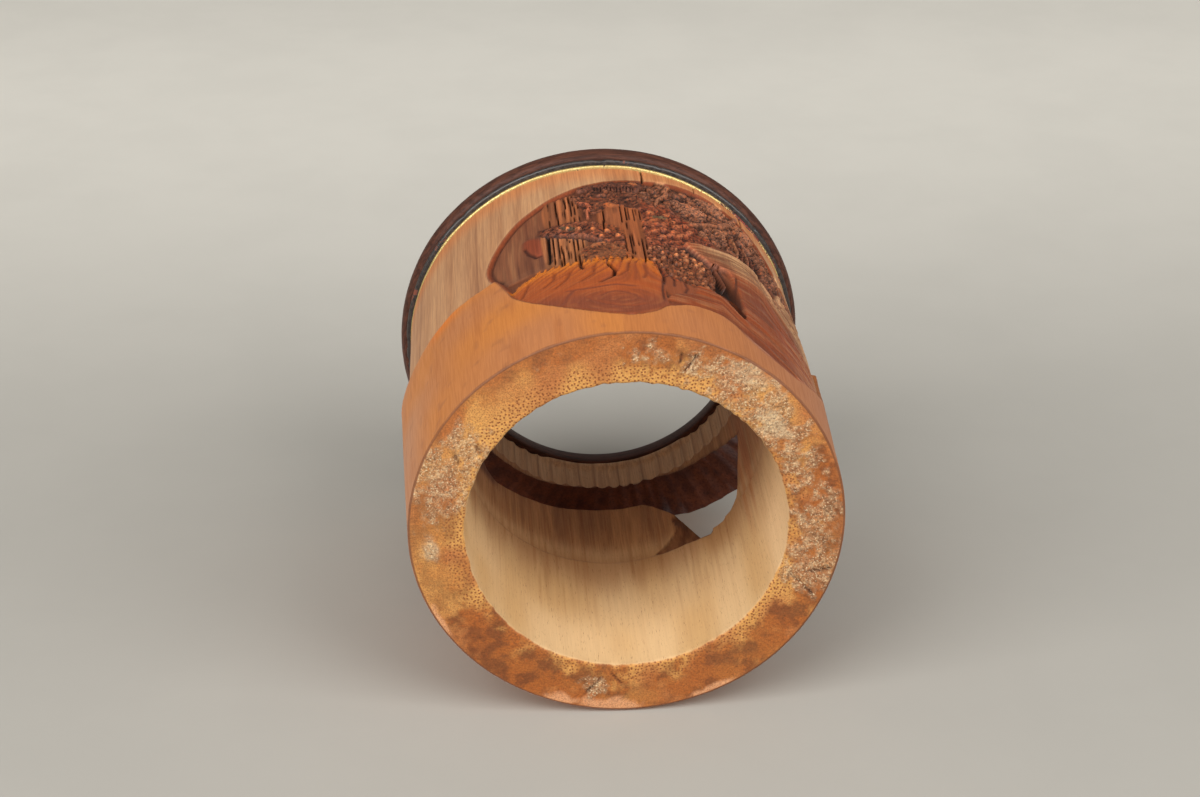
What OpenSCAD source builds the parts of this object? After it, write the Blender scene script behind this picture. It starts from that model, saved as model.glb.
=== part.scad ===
// Carved bamboo brush pot: one section of culm, open right through, with a hardwood rim.
// The pot stands on its foot. +Z runs up its axis, and the origin is the centre of the foot face.
// Angles run round the axis from -Y towards +X, so the front carving is centred a little past 0.

/* [Culm] */
// Outer radius of the foot, above its rounded edge
foot_r = 60; // [59:0.5:61]
// Height of the bamboo, from the foot face to its upper end
culm_h = 121.5; // [121:0.5:122]
// How much the skin's radius grows for each millimetre of height
skin_flare = 0.033; // [0.02:0.001:0.036]
// Rounding of the foot's outer edge
foot_round = 1.2; // [0.6:0.1:1.5]
// Radius of the pared ground under the skin, taken down to the foot
ground_r = 61.4; // [61.2:0.1:61.5]
// How much the ground's radius shrinks for each millimetre of height
ground_taper = 0.01; // [0.008:0.001:0.012]

/* [Bore] */
// Radius of the bore from the foot up to the node
bore_r = 44.8; // [44:0.1:45]
// Radius of the bore from the node up to the mouth
mouth_r = 45.6; // [45.4:0.1:46]
// Height of the node, where the bore steps out
node_z = 55; // [52:1:57]

/* [Carving] */
// Radius of the sunk floor of the front carving
floor_r = 57.4; // [56.5:0.1:58]
// Radius of the grass hill and the rock slope
hill_r = 60; // [59:0.1:60.4]
// Radius of the tree belt
tree_r = 59.2; // [58.4:0.1:59.6]
// Radius of the sunk rock face of the back carving
rock_r = 58.6; // [57.8:0.1:59.2]

/* [Rim] */
// Outer radius of the hardwood rim at its widest
rim_r = 63.5; // [63:0.1:64]
// Inner radius of the hardwood rim
rim_bore_r = 45; // [44.6:0.1:45.2]
// Height of the hardwood rim
rim_h = 6.5; // [6:0.1:7]
// Outer radius of the lacquer bead
bead_r = 61.8; // [61.5:0.1:62]
// Height of the lacquer bead
bead_h = 1.7; // [1.5:0.1:1.8]
// Outer radius of the gilt string
string_r = 60.5; // [60.3:0.1:60.8]
// Height of the gilt string
string_h = 1.2; // [1:0.1:1.3]
// Outer radius of the neck that both rings sit on
neck_r = 58.4; // [58:0.1:58.6]

/* [Hidden] */
$fn = 96;
far_r = 80;          // beyond every outer surface
clear = 1;           // how far a cutter runs past the face that it opens
neck_z = culm_h - bead_h - string_h;

// Upper edge of the skin band, every 15 degrees round from the front
edge_step = 15;
skin_edge = [60, 60, 60, 60, 62, 66, 70, 74, 66, 52, 42, 36,
             32, 38, 50, 62, 72, 78, 76, 67, 58, 57, 56, 56];
slice_steps = 4;     // steps of the edge that one slice of the paring spans
slice_lap = 0.4;     // degrees by which neighbouring slices overlap

// Outline of the front carving, as angle and height
front_mid = 22;
front_outline = [
    [-36, 66], [-35, 58], [-32, 51], [-30, 43], [-28, 35], [-23, 27], [-13, 16], [-4, 10],
    [3, 8], [10, 13], [16, 18], [22, 19], [27, 18], [31, 14], [36, 10], [45, 9],
    [52, 10], [62, 18], [72, 30], [79, 44], [82, 58], [80, 72], [72, 84], [63, 94],
    [52, 105], [44, 110], [33, 112], [21, 110], [8, 107], [-4, 103], [-15, 97], [-24, 89],
    [-32, 78]
];

// The grass hill below and the rock slope to its right
hill_outline = [
    [-30, 43], [-28, 35], [-23, 27], [-13, 16], [-4, 10], [3, 8], [10, 13], [16, 18],
    [22, 19], [27, 18], [31, 14], [36, 10], [45, 9], [52, 10], [62, 18], [72, 30],
    [74, 46], [62, 52], [48, 55], [38, 50], [33, 34], [25, 37], [15, 45], [8, 47],
    [-8, 48], [-20, 46]
];

// The belt of trees under the upper edge
tree_outline = [
    [-18, 84], [-4, 82], [8, 78], [20, 74], [34, 78], [46, 76], [58, 74], [70, 76],
    [63, 90], [52, 102], [42, 107], [30, 109], [16, 107], [2, 103], [-10, 98]
];

// The crack-like gap between the tree root and the slope, cut through the wall
gap_mid = 31;
gap_outline = [
    [26, 46], [29, 45], [32, 39], [36, 34], [38, 30], [34, 31], [30, 36], [27, 41]
];

// Outline of the back carving, as angle and height
back_mid = 180;
back_outline = [
    [110, 74], [113, 54], [122, 42], [135, 40], [150, 38], [165, 36], [180, 36], [196, 40],
    [210, 48], [224, 60], [238, 74], [246, 88], [244, 98], [230, 104], [212, 107], [192, 109],
    [168, 109], [146, 107], [128, 102], [116, 94]
];

// The window cut through the back wall: the cave mouth on the right, and the sky over the hills
cave_mid = 138;
cave_outline = [
    [117, 86], [119, 74], [124, 60], [131, 52], [143, 56], [147, 64], [152, 75], [158, 82],
    [164, 89], [168, 91], [168, 105], [160, 105], [148, 103], [136, 100], [126, 96], [118, 91]
];
sky_mid = 204;
sky_outline = [
    [166, 91], [178, 92], [190, 89], [202, 87], [214, 86], [226, 87], [236, 90], [240, 95],
    [236, 98], [224, 101], [210, 102], [196, 104], [182, 105], [166, 105]
];

// An outline drawn flat, as seen along the radius at angle mid on a wall of radius r
function flat_on(points, mid, r) = [for (p = points) [r * sin(p[0] - mid), p[1]]];

// Turns what is built along -Y to the given angle
module at_angle(a) { rotate([0, 0, a]) children(); }

// A bar of the given outline, running out from the axis at angle mid
module radial_bar(points, mid, r) {
    at_angle(mid) rotate([90, 0, 0]) linear_extrude(height = far_r) polygon(flat_on(points, mid, r));
}

// All that lies outside radius r under the height of the neck
module outside(r) {
    difference() {
        translate([0, 0, -clear]) cylinder(h = neck_z + clear, r = far_r);
        translate([0, 0, -2 * clear]) cylinder(h = neck_z + 3 * clear, r = r);
    }
}

// The culm with its skin on, solid, rounded at the foot and necked for the rings
module culm_blank() {
    turn = [for (a = [0 : 15 : 90]) [
        foot_r - foot_round * (1 - sin(a)),
        foot_round * (1 - cos(a))
    ]];
    rotate_extrude() polygon(concat(
        [[0, 0]], turn,
        [[foot_r + skin_flare * neck_z, neck_z], [neck_r, neck_z], [neck_r, culm_h], [0, culm_h]]
    ));
}

// One slice of the paring that takes the skin off above its wavy edge
module paring_slice(first) {
    count = len(skin_edge);
    mid = (first + slice_steps / 2) * edge_step;
    half = far_r * tan(slice_steps * edge_step / 2 + slice_lap);
    edge = [for (k = [first - 1 : first + slice_steps + 1])
        [k * edge_step, skin_edge[(k + count) % count]]];
    low_edge = flat_on(edge, mid, ground_r);
    right = low_edge[len(low_edge) - 1][0];
    left = low_edge[0][0];
    intersection() {
        at_angle(mid) rotate([90, 0, 0]) linear_extrude(height = far_r) polygon(concat(
            low_edge, [[right, neck_z + clear / 2], [left, neck_z + clear / 2]]
        ));
        at_angle(mid) translate([0, 0, -clear]) linear_extrude(height = neck_z + 2 * clear)
            polygon([[0, 0], [-half, -far_r], [half, -far_r]]);
    }
}

// The paring: everything outside the ground, above the skin band
module paring() {
    difference() {
        for (i = [0 : slice_steps : len(skin_edge) - 1]) paring_slice(i);
        translate([0, 0, -clear]) cylinder(
            h = neck_z + 2 * clear,
            r1 = ground_r + ground_taper * clear,
            r2 = ground_r - ground_taper * (neck_z + clear)
        );
    }
}

// The sunk front carving, with its hill, slope and tree belt left standing
module front_carving() {
    difference() {
        intersection() {
            radial_bar(front_outline, front_mid, foot_r);
            outside(floor_r);
        }
        difference() {
            radial_bar(hill_outline, front_mid, foot_r);
            outside(hill_r);
        }
        difference() {
            radial_bar(tree_outline, front_mid, foot_r);
            outside(tree_r);
        }
    }
}

module back_carving() {
    intersection() {
        radial_bar(back_outline, back_mid, foot_r);
        outside(rock_r);
    }
}

module bamboo_body() {
    color("peru") difference() {
        culm_blank();
        paring();
        front_carving();
        back_carving();
        translate([0, 0, -clear]) cylinder(h = culm_h + 2 * clear, r = bore_r);
        translate([0, 0, node_z]) cylinder(h = culm_h - node_z + clear, r = mouth_r);
        radial_bar(gap_outline, gap_mid, foot_r);
        radial_bar(cave_outline, cave_mid, mouth_r);
        radial_bar(sky_outline, sky_mid, mouth_r);
    }
}

// The thin gilt ring that covers the edge of the ground
module gilt_string() {
    color("khaki") translate([0, 0, neck_z]) rotate_extrude() polygon([
        [neck_r, 0], [string_r - 0.3, 0], [string_r, 0.3],
        [string_r, string_h - 0.3], [string_r - 0.3, string_h], [neck_r, string_h]
    ]);
}

// The black lacquered bead between the string and the rim
module lacquer_bead() {
    round_r = bead_h / 2;
    color("dimgray") translate([0, 0, neck_z + string_h]) rotate_extrude() {
        translate([neck_r, 0]) square([bead_r - round_r - neck_r, bead_h]);
        intersection() {
            translate([bead_r - round_r, round_r]) circle(r = round_r);
            translate([bead_r - round_r - 0.01, 0]) square([round_r + 0.02, bead_h]);
        }
    }
}

// The hardwood rim, glued down on the bamboo's upper end, with a round outer edge
module rim_ring() {
    round_r = rim_h / 2;
    steps = [for (a = [-75 : 15 : 75]) [
        rim_r - round_r * 0.8 * (1 - cos(a)),
        round_r * (1 + sin(a))
    ]];
    color("saddlebrown") translate([0, 0, culm_h]) rotate_extrude() polygon(concat(
        [[rim_bore_r + 0.6, 0]], steps, [[rim_bore_r + 0.8, rim_h], [rim_bore_r, rim_h - 0.8], [rim_bore_r, 0.6]]
    ));
}

bamboo_body();
gilt_string();
lacquer_bead();
rim_ring();
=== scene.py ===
import math

import bpy
import numpy as np
from mathutils import Matrix, Vector


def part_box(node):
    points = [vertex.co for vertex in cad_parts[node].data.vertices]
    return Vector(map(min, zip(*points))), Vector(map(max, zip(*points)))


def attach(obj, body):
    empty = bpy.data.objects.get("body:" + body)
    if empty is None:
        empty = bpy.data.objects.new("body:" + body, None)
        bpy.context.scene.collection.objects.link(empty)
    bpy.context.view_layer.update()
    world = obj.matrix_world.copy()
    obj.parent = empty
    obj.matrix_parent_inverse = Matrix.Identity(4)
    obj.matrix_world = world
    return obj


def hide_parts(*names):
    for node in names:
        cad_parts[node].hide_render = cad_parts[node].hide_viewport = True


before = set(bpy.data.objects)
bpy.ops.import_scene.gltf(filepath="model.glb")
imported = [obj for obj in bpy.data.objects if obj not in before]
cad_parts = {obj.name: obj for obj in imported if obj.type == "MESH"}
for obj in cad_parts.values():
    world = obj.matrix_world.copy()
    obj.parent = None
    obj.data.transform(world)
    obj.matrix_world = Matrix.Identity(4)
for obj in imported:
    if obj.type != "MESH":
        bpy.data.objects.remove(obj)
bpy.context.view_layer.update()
scene = bpy.context.scene
scene.view_settings.view_transform = "Standard"

# ---- The view -----------------------------------------------------------------------------------
# The pot lies on its back, so "up" on the table is the pot's -Y. The lens looks into the foot from
# above, and a little from the left.
MM = 0.001
LENS = 72
EYE = Vector((-43.6, -332.1, -572.2)) * MM
TURN = math.radians(3.6)
TILT = math.radians(26.96)
across = Vector((math.cos(TURN), 0, -math.sin(TURN)))
along = Vector((math.sin(TURN), 0, math.cos(TURN)))
look = along * math.cos(TILT) + Vector((0, 1, 0)) * math.sin(TILT)
lens_data = bpy.data.cameras.new("lens")
lens_data.lens = LENS
lens_data.clip_start = 0.01
camera = bpy.data.objects.new("camera", lens_data)
scene.collection.objects.link(camera)
camera.matrix_world = (Matrix.Translation(EYE)
                       @ Matrix((across, across.cross(look), -look)).transposed().to_4x4())
scene.camera = camera

# ---- The culm -----------------------------------------------------------------------------------
# One section of thick bamboo culm, open at both ends, carved by hand out of its own wall.
# The skin is kept as a band round the foot; above it the ground is pared down and two hollows
# hold the carved scenes. It is worked as a radius for every angle and height, in millimetres.
CULM_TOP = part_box("bamboo_body")[1].z / MM
RINGS_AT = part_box("gilt_string")[0].z / MM
NECK = 58.4
FOOT = 60.0
EDGE_ROUND = 0.5
BORE_LOW = 44.8
BORE_HIGH = 45.6
OVAL = 0.25
FAR = 1e9
ARC = math.radians(1) * FOOT


def spaced(*spans):
    """Numbers from start to end at the given gap, for each (start, end, gap) span in turn."""
    return np.concatenate([a + (b - a) * np.arange(n) / n for a, b, n in
                           [(a, b, round(abs(b - a) / gap)) for a, b, gap in spans]])


angles = spaced((-110, -40, 1.2), (-40, 84, 0.36), (84, 104, 1.0), (104, 250, 0.7))
heights = np.append(spaced((0, EDGE_ROUND, 0.125), (EDGE_ROUND, 2, 0.5), (2, 8, 1.1), (8, RINGS_AT, 0.44)),
                    RINGS_AT)
A, Z = np.meshgrid(angles, heights, indexing="ij")

luck = np.random.default_rng(7)
LATTICE_SIZE = 8192
LATTICE = luck.random(LATTICE_SIZE) * 2 - 1
STRIDES = (73856093, 19349663, 83492791, 2654435761)


def noise(x, y, z, seed=0):
    """Smooth noise from -1 to 1 at points given in lattice steps."""
    i, j, k = (np.floor(v).astype(np.int64) for v in (x, y, z))
    u, v, w = (t * t * (3 - 2 * t) for t in (x - i, y - j, z - k))

    def corner(a, b, c):
        key = (i + a) * STRIDES[0] ^ (j + b) * STRIDES[1] ^ (k + c) * STRIDES[2] ^ seed * STRIDES[3]
        return LATTICE[(key ^ (key >> 13)) & (LATTICE_SIZE - 1)]

    def edge(b, c):
        return corner(0, b, c) * (1 - u) + corner(1, b, c) * u

    low = edge(0, 0) * (1 - v) + edge(1, 0) * v
    high = edge(0, 1) * (1 - v) + edge(1, 1) * v
    return low * (1 - w) + high * w


def grain(a, z, wide, tall, seed=0, radius=FOOT):
    """Noise on the wall, with features so many millimetres wide round the pot and tall up it."""
    turn = np.radians(a)
    return noise(radius * np.sin(turn) / wide, -radius * np.cos(turn) / wide, z / tall + 0.5, seed)


def ease(low, high, x):
    """Goes smoothly from 0 at low to 1 at high."""
    t = np.clip((x - low) / (high - low), 0, 1)
    return t * t * (3 - 2 * t)


def mix(a, b, t):
    return a + (b - a) * t


def tint(red, green, blue):
    """A colour named by its 0 to 255 screen values, as the light it gives back."""
    c = np.array((red, green, blue)) / 255
    return np.where(c <= 0.04045, c / 12.92, ((c + 0.055) / 1.055) ** 2.4)


def dye(field, colour, mask):
    """A field of colours with another colour laid over it, where the mask says so."""
    return mix(field, colour, mask[..., None])


def curved(points, steps=6):
    """A closed outline of angles and heights, curved through its points."""
    p = np.array(points, float)
    back, on, far = np.roll(p, 1, 0), np.roll(p, -1, 0), np.roll(p, -2, 0)
    ways = [p + 0.5 * t * (on - back + t * (2 * back - 5 * p + 4 * on - far + t
                                            * (3 * (p - on) + far - back)))
            for t in np.arange(steps) / steps]
    return np.stack(ways, 1).reshape(-1, 2)


def depth_in(outline, a, z):
    """How far places on the wall lie inside an outline, in mm; less than 0 outside it."""
    x, y = a * ARC, z
    px, py = outline[:, 0] * ARC, outline[:, 1]
    best = np.full(x.shape, FAR)
    inside = np.zeros(x.shape, bool)
    for x0, y0, x1, y1 in zip(px, py, np.roll(px, -1), np.roll(py, -1)):
        dx, dy = x1 - x0, y1 - y0
        t = np.clip(((x - x0) * dx + (y - y0) * dy) / (dx * dx + dy * dy + 1e-12), 0, 1)
        best = np.minimum(best, (x - x0 - t * dx) ** 2 + (y - y0 - t * dy) ** 2)
        if y0 != y1:
            inside ^= ((y0 > y) != (y1 > y)) & (x < (y - y0) * dx / dy + x0)
    return np.where(inside, 1, -1) * np.sqrt(best)


def patch(a_low, a_high, z_low, z_high):
    """The part of the wall between two angles and two heights, as slices."""
    i = np.searchsorted(angles, [a_low, a_high])
    j = np.searchsorted(heights, [z_low, z_high])
    return slice(i[0], i[1] + 1), slice(j[0], j[1] + 1)


def lay(cut, mask, level=None, stain=None):
    """Works a patch of the wall to a level and a colour, where the mask says so; in some places the colour is
    painted shade or painted highlight.
    """
    if level is not None:
        R[cut] = mix(R[cut], level, mask)
    if stain is not None:
        T[cut] = mix(T[cut], stain, mask[..., None])


def shape(points, level=None, stain=None, soft=0.5, ripple=0.0):
    """Works the inside of a curved outline, with a soft edge, and gives its patch and mask."""
    line = curved(points)
    low, high = line.min(0) - 3, line.max(0) + 3
    cut = patch(low[0], high[0], low[1], high[1])
    inside = depth_in(line, A[cut], Z[cut]) + ripple * grain(A[cut], Z[cut], 1.1, 1.6, 31)
    mask = ease(-soft, soft, inside)
    lay(cut, mask, level, stain)
    return cut, mask


def by_path(path, wide):
    """The patch round a path, how far each place is from it, and how far along it, from 0 to 1."""
    p = np.array(path, float)
    low, high = p.min(0) - wide / ARC - 1, p.max(0) + wide / ARC + 1
    cut = patch(low[0], high[0], low[1], high[1])
    x, y = A[cut] * ARC, Z[cut]
    best, at = np.full(x.shape, FAR), np.zeros(x.shape)
    for k in range(len(p) - 1):
        (x0, y0), (x1, y1) = p[k] * (ARC, 1), p[k + 1] * (ARC, 1)
        dx, dy = x1 - x0, y1 - y0
        t = np.clip(((x - x0) * dx + (y - y0) * dy) / (dx * dx + dy * dy), 0, 1)
        away = np.hypot(x - x0 - t * dx, y - y0 - t * dy)
        at = np.where(away < best, (k + t) / (len(p) - 1), at)
        best = np.minimum(best, away)
    return cut, best, at


def limb(path, wide, level, high, stain, taper=0.4):
    """Leaves a round stem standing along a path, with a cut down each side of it."""
    cut, away, at = by_path(path, wide * 2)
    off = away / (wide * (1 - taper * at))
    lay(cut, ease(1.5, 1.1, off) * ease(0.9, 1.0, off), level - 0.5)
    R[cut] = np.where(off < 1, np.maximum(R[cut], level + high * np.sqrt(np.clip(1 - off ** 2, 0, 1))),
                      R[cut])
    lay(cut, ease(1.05, 0.8, off), None, stain)


def score(path, wide, deep, stain=None):
    """Cuts a V groove along a path; a dark colour given with it is painted shade in the groove."""
    cut, away, at = by_path(path, wide)
    off = ease(1, 0.15, away / wide) * ease(0, 0.12, at + 0.04) * ease(1.04, 0.85, at)
    R[cut] -= deep * off
    if stain is not None:
        lay(cut, off, None, stain)


def knob(a, z, wide, tall, level, high, stain=None, turn=0.0):
    """Leaves one rounded knob or leaf standing."""
    size = max(wide, tall)
    cut = patch(a - size / ARC - 0.5, a + size / ARC + 0.5, z - size - 0.5, z + size + 0.5)
    x, y = (A[cut] - a) * ARC, Z[cut] - z
    c, s = math.cos(turn), math.sin(turn)
    off = np.hypot((x * c + y * s) / wide, (y * c - x * s) / tall)
    R[cut] = np.where(off < 1, np.maximum(R[cut], level + high * np.sqrt(np.clip(1 - off ** 2, 0, 1))),
                      R[cut])
    if stain is not None:
        lay(cut, ease(1, 0.7, off), None, stain)


def fan(a, z, size, level, high, stain, needles=13, turn=0.0):
    """Leaves a pine spray standing: needles that spread upwards from one point, with a cut round it."""
    cut = patch(a - size * 1.3 / ARC, a + size * 1.3 / ARC, z - size * 0.7, z + size * 1.3)
    x, y = (A[cut] - a) * ARC, Z[cut] - z
    ray = np.arctan2(x, y + 0.25 * size) - turn
    off = np.hypot(x, np.where(y < 0, y * 2.2, y)) / size
    ribs = 0.5 + 0.5 * np.cos(ray * needles)
    body = (high * np.sqrt(np.clip(1 - off ** 2, 0, 1))
            * (0.35 + 0.65 * ribs * ease(0.1, 0.5, off) + 0.4 * ease(0.5, 0, off)))
    # The cut round the spray is painted darker as shade, and the needle ribs lighter as a painted highlight.
    lay(cut, ease(1.22, 1.08, off), level - 0.75, stain * 0.6)
    R[cut] = np.where(off < 1, np.maximum(R[cut], level + body), R[cut])
    lay(cut, ease(1.05, 0.9, off), None, stain * 0.75)
    lay(cut, ease(1.0, 0.85, off) * ribs * 0.8, None, stain * 1.35)


def scatter(points, gap, seed):
    """Uneven places inside an outline, about a gap apart, from the top down."""
    line = curved(points)
    spread = np.random.default_rng(seed)
    low, high = line.min(0), line.max(0)
    for k, z in enumerate(np.arange(high[1], low[1], -gap * 0.8)):
        for a in np.arange(low[0] + (k % 2) * gap / 2 / ARC, high[0], gap / ARC):
            spot_a, spot_z = a + spread.uniform(-0.3, 0.3) * gap, z + spread.uniform(-0.3, 0.3) * gap
            crosses = 0
            for (x0, y0), (x1, y1) in zip(line, np.roll(line, -1, 0)):
                if (y0 > spot_z) != (y1 > spot_z) and spot_a < (spot_z - y0) * (x1 - x0) / (y1 - y0) + x0:
                    crosses += 1
            if crosses % 2:
                yield spot_a, spot_z, spread.uniform(0, 1, 3)


def leafy(points, level, dark, light, lean, seed, wide=1.0, long=3.2, high=0.9):
    """Works an area into crowded narrow leaves or needles that lean one way, with deep gaps."""
    line = curved(points)
    low, high_at = line.min(0) - 2, line.max(0) + 2
    cut = patch(low[0], high_at[0], low[1], high_at[1])
    CA, CZ = A[cut], Z[cut]
    mask = ease(-0.4, 0.5, depth_in(line, A[cut], Z[cut]) + 0.6 * grain(CA, CZ, 1.3, 1.3, seed))
    x = CA * ARC + 1.5 * grain(CA, CZ, 5, 5, seed + 1)
    y = CZ + 1.5 * grain(CA, CZ, 5, 5, seed + 2)
    c, s = math.cos(lean), math.sin(lean)
    ridge = 1 - 2.2 * np.abs(noise((x * c + y * s) / wide, (y * c - x * s) / long, x * 0, seed + 3))
    small = noise(x / 0.75, y / 0.9, x * 0, seed + 4)
    mass = grain(CA, CZ, 4.5, 3.5, seed + 5)
    lay(cut, mask, level + high * (0.42 * ridge + 0.22 * small + 0.5 * mass))
    # Colour follows the height: painted shade darkens the low gaps and a painted highlight lightens the high
    # leaves.
    highlight_and_shade = np.clip(0.30 + 0.44 * ridge + 0.25 * small + 0.2 * mass, 0, 1)
    lay(cut, mask, None, mix(dark, light, highlight_and_shade[..., None]) * 0.84)
    ROUGH[cut] = mix(ROUGH[cut], 1, mask)


def trunks(points, slots, level, deep, stain, slot=0.30, lean=0.0):
    """Cuts an area into upright trunks, with narrow uneven slots between them."""
    line = curved(points)
    low, high = line.min(0) - 2, line.max(0) + 2
    cut = patch(low[0], high[0], low[1], high[1])
    CA, CZ = A[cut], Z[cut]
    mask = ease(-0.3, 0.4, depth_in(line, A[cut], Z[cut]))
    middle = np.mean(slots)
    place = CA + lean * (CA - middle) * (CZ - high[1]) + 0.22 * grain(CA, CZ, 2.5, 6, 17)
    ways = np.stack([np.abs(place - s) * ARC for s in slots])
    gap = ways.min(0)
    own = luck.uniform(0.35, 1.25, len(slots))[ways.argmin(0)] * (0.75 + 0.5 * grain(CA, CZ, 1.5, 9, 18))
    lay(cut, mask, level + 0.4 * np.sqrt(np.clip(1 - (1 - np.clip(gap / 0.8, 0, 1)) ** 2, 0, 1)) - 0.35
        + 0.08 * noise(place / 0.5, CZ / 14, CZ * 0, 20), stain)
    T[cut] *= mix(1, 0.85 + 0.5 * noise(place / 0.9, CZ / 30, CZ * 0, 19), mask)[..., None]
    groove = ease(slot, slot * 0.3, gap / np.clip(own, 0.3, 2)) * mask
    lay(cut, groove, level - deep * np.clip(own, 0.3, 1))
    # The slots are painted dark, as the shade in them.
    lay(cut, groove * 0.85, None, tint(62, 32, 20))


# The skin, and the ground pared under it
SKIN_GOLD = tint(188, 116, 52)
SKIN_PINK = tint(176, 112, 66)
GROUND_PALE = tint(192, 146, 104)
GROUND_DARK = tint(150, 100, 66)
EDGE_RED = tint(148, 76, 40)
SKIN_EDGE = [(-125, 76), (-110, 78), (-98, 77), (-90, 74), (-84, 67), (-78, 62), (-66, 57.5), (-56, 56.5),
             (-46, 55.5), (-38, 54), (-20, 54), (40, 56), (66, 62), (76, 68), (90, 70), (105, 73),
             (120, 66), (136, 52), (150, 44), (165, 37), (180, 33), (195, 38), (210, 50), (222, 62),
             (235, 74), (250, 78)]
edge_turn, edge_height = np.array(SKIN_EDGE, float).T
skin_top = np.interp(A, edge_turn, edge_height) + 0.5 * grain(A, Z * 0, 5, 9, 3)
above = Z - skin_top + 0.2 * grain(A, Z, 2, 2, 4)
bare = ease(-0.45, 0.5, above)
SKIN_R, SKIN_FLARE = 60.3, 0.033
GROUND_R, GROUND_TAPER = 61.35, 0.01
R = mix(SKIN_R + SKIN_FLARE * Z, GROUND_R - GROUND_TAPER * Z, bare)
streak = grain(A, Z, 1.5, 80, 7)
broad = grain(A, Z, 5.0, 120, 9)
R += 0.12 * grain(A, Z, 16, 60, 5) + bare * (0.05 * grain(A, Z, 3, 40, 6) - 0.06 * ease(0.2, 0.8, streak))
T = mix(SKIN_GOLD, SKIN_PINK, ease(-0.5, 0.6, grain(A, Z, 22, 18, 8))[..., None])
T = dye(T, tint(178, 126, 92), 0.7 * ease(-56, -78, A) * ease(-112, -95, A) * ease(48, 30, Z))
T = dye(T, tint(166, 98, 48), 0.45 * ease(0.0, 0.8, grain(A, Z, 3, 14, 10)))
T = dye(T, tint(150, 92, 54), 0.5 * ease(0.45, 0.9, grain(A, Z, 2.2, 3.0, 14)))
T = dye(T, tint(160, 100, 62), 0.62 * ease(-24, 34, A))
pared = mix(GROUND_PALE, GROUND_DARK, np.clip(0.3 + 0.45 * broad + 0.35 * streak, 0, 1)[..., None])
pared = dye(pared, tint(122, 78, 52), 0.55 * ease(0.45, 0.8, grain(A, Z * 0, 0.9, 9, 13)))
pared = dye(pared, tint(196, 120, 66), 0.7 * ease(104, 117, Z))
T = mix(T, pared, bare[..., None])
T = dye(T, tint(208, 112, 26), 0.85 * ease(-8, -0.5, above) * (1 - bare)
        * ease(0.2, -0.6, grain(A, Z, 12, 40, 12)))
gloss = mix(0.75, 0.35, bare)
ROUGH = np.zeros(A.shape)

# The hollow cut for the scene at the front, with its sloping wall
FRONT = [(-37, 66), (-36, 59), (-33, 51.5), (-30.5, 43), (-28.5, 36.5), (-23, 28), (-15, 19.5), (-8, 14),
         (-2, 11), (3, 10.5), (8, 13), (12, 17.5), (18, 20.5), (25, 21), (30, 19.5), (34, 16), (39, 13.5),
         (45, 13), (51, 15), (58, 20), (66, 28), (74, 40), (79, 54), (80, 66), (76, 78), (70, 88), (63, 97),
         (55, 106), (47, 111), (38, 113), (30, 113.5), (21, 112.5), (12, 109.5), (3, 107.5), (-6, 104.5),
         (-15, 99.5), (-22, 94), (-28, 88), (-33, 79.5), (-36, 72)]
FRONT_FLOOR = 59.5
front = patch(-42, 84, 6, 118)
front_line = curved(FRONT)
FA, FZ = A[front], Z[front]
front_in = depth_in(front_line, FA, FZ)
wall = mix(1.6, 0.6, ease(40, 30, FZ))
lay(front, ease(0, 1, (front_in + 0.1 * grain(FA, FZ, 1.2, 1.2, 20)) / wall), FRONT_FLOOR)
lay(front, ease(-0.1, 0.4, front_in), None, mix(EDGE_RED, tint(176, 116, 68), ease(58, 68, FA)[..., None]))
lay(front, ease(0.9, 2.0, front_in), None, tint(128, 76, 52))
lay(front, ease(-0.35, 0.0, front_in) * ease(0.35, 0.0, front_in) * 0.7, None, tint(86, 44, 26))

# Left: a smooth hollow of wavy grain, with one hanging lobe
sway = 1.3 * grain(A, Z, 9, 18, 21)
strands = 0.65 * grain(A + sway, Z, 0.75, 16, 22) + 0.5 * grain(A + sway, Z, 2.0, 26, 23)
smooth_part = patch(-37, -17, 50, 97)
left_mask = (ease(1.2, 2.6, depth_in(front_line, A[smooth_part], Z[smooth_part]))
             * ease(-17, -19.5, A[smooth_part]))
lay(smooth_part, left_mask, 59.9 + 0.26 * strands[smooth_part], tint(148, 98, 74))
lay(smooth_part, left_mask * ease(0.05, 0.5, strands[smooth_part]) * 0.85, None, tint(106, 62, 46))
lay(smooth_part, left_mask * ease(-0.1, -0.6, strands[smooth_part]) * 0.6, None, tint(184, 138, 108))
lay(smooth_part, left_mask * ease(74, 90, Z[smooth_part]) * 0.4, None, tint(140, 78, 50))
shape([(-25.2, 74), (-25, 68), (-23.6, 64.5), (-21.5, 60.5), (-19.4, 60.6), (-19, 66), (-20, 71.5),
       (-22.5, 74.6)],
      60.15, tint(150, 74, 46), 1.2)
# The dark groove along the lobe's left edge is painted shadow.
score([(-25, 70), (-24, 65), (-21.8, 60.6), (-19.6, 60.2)], 0.9, 0.45, tint(92, 46, 30))

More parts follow.
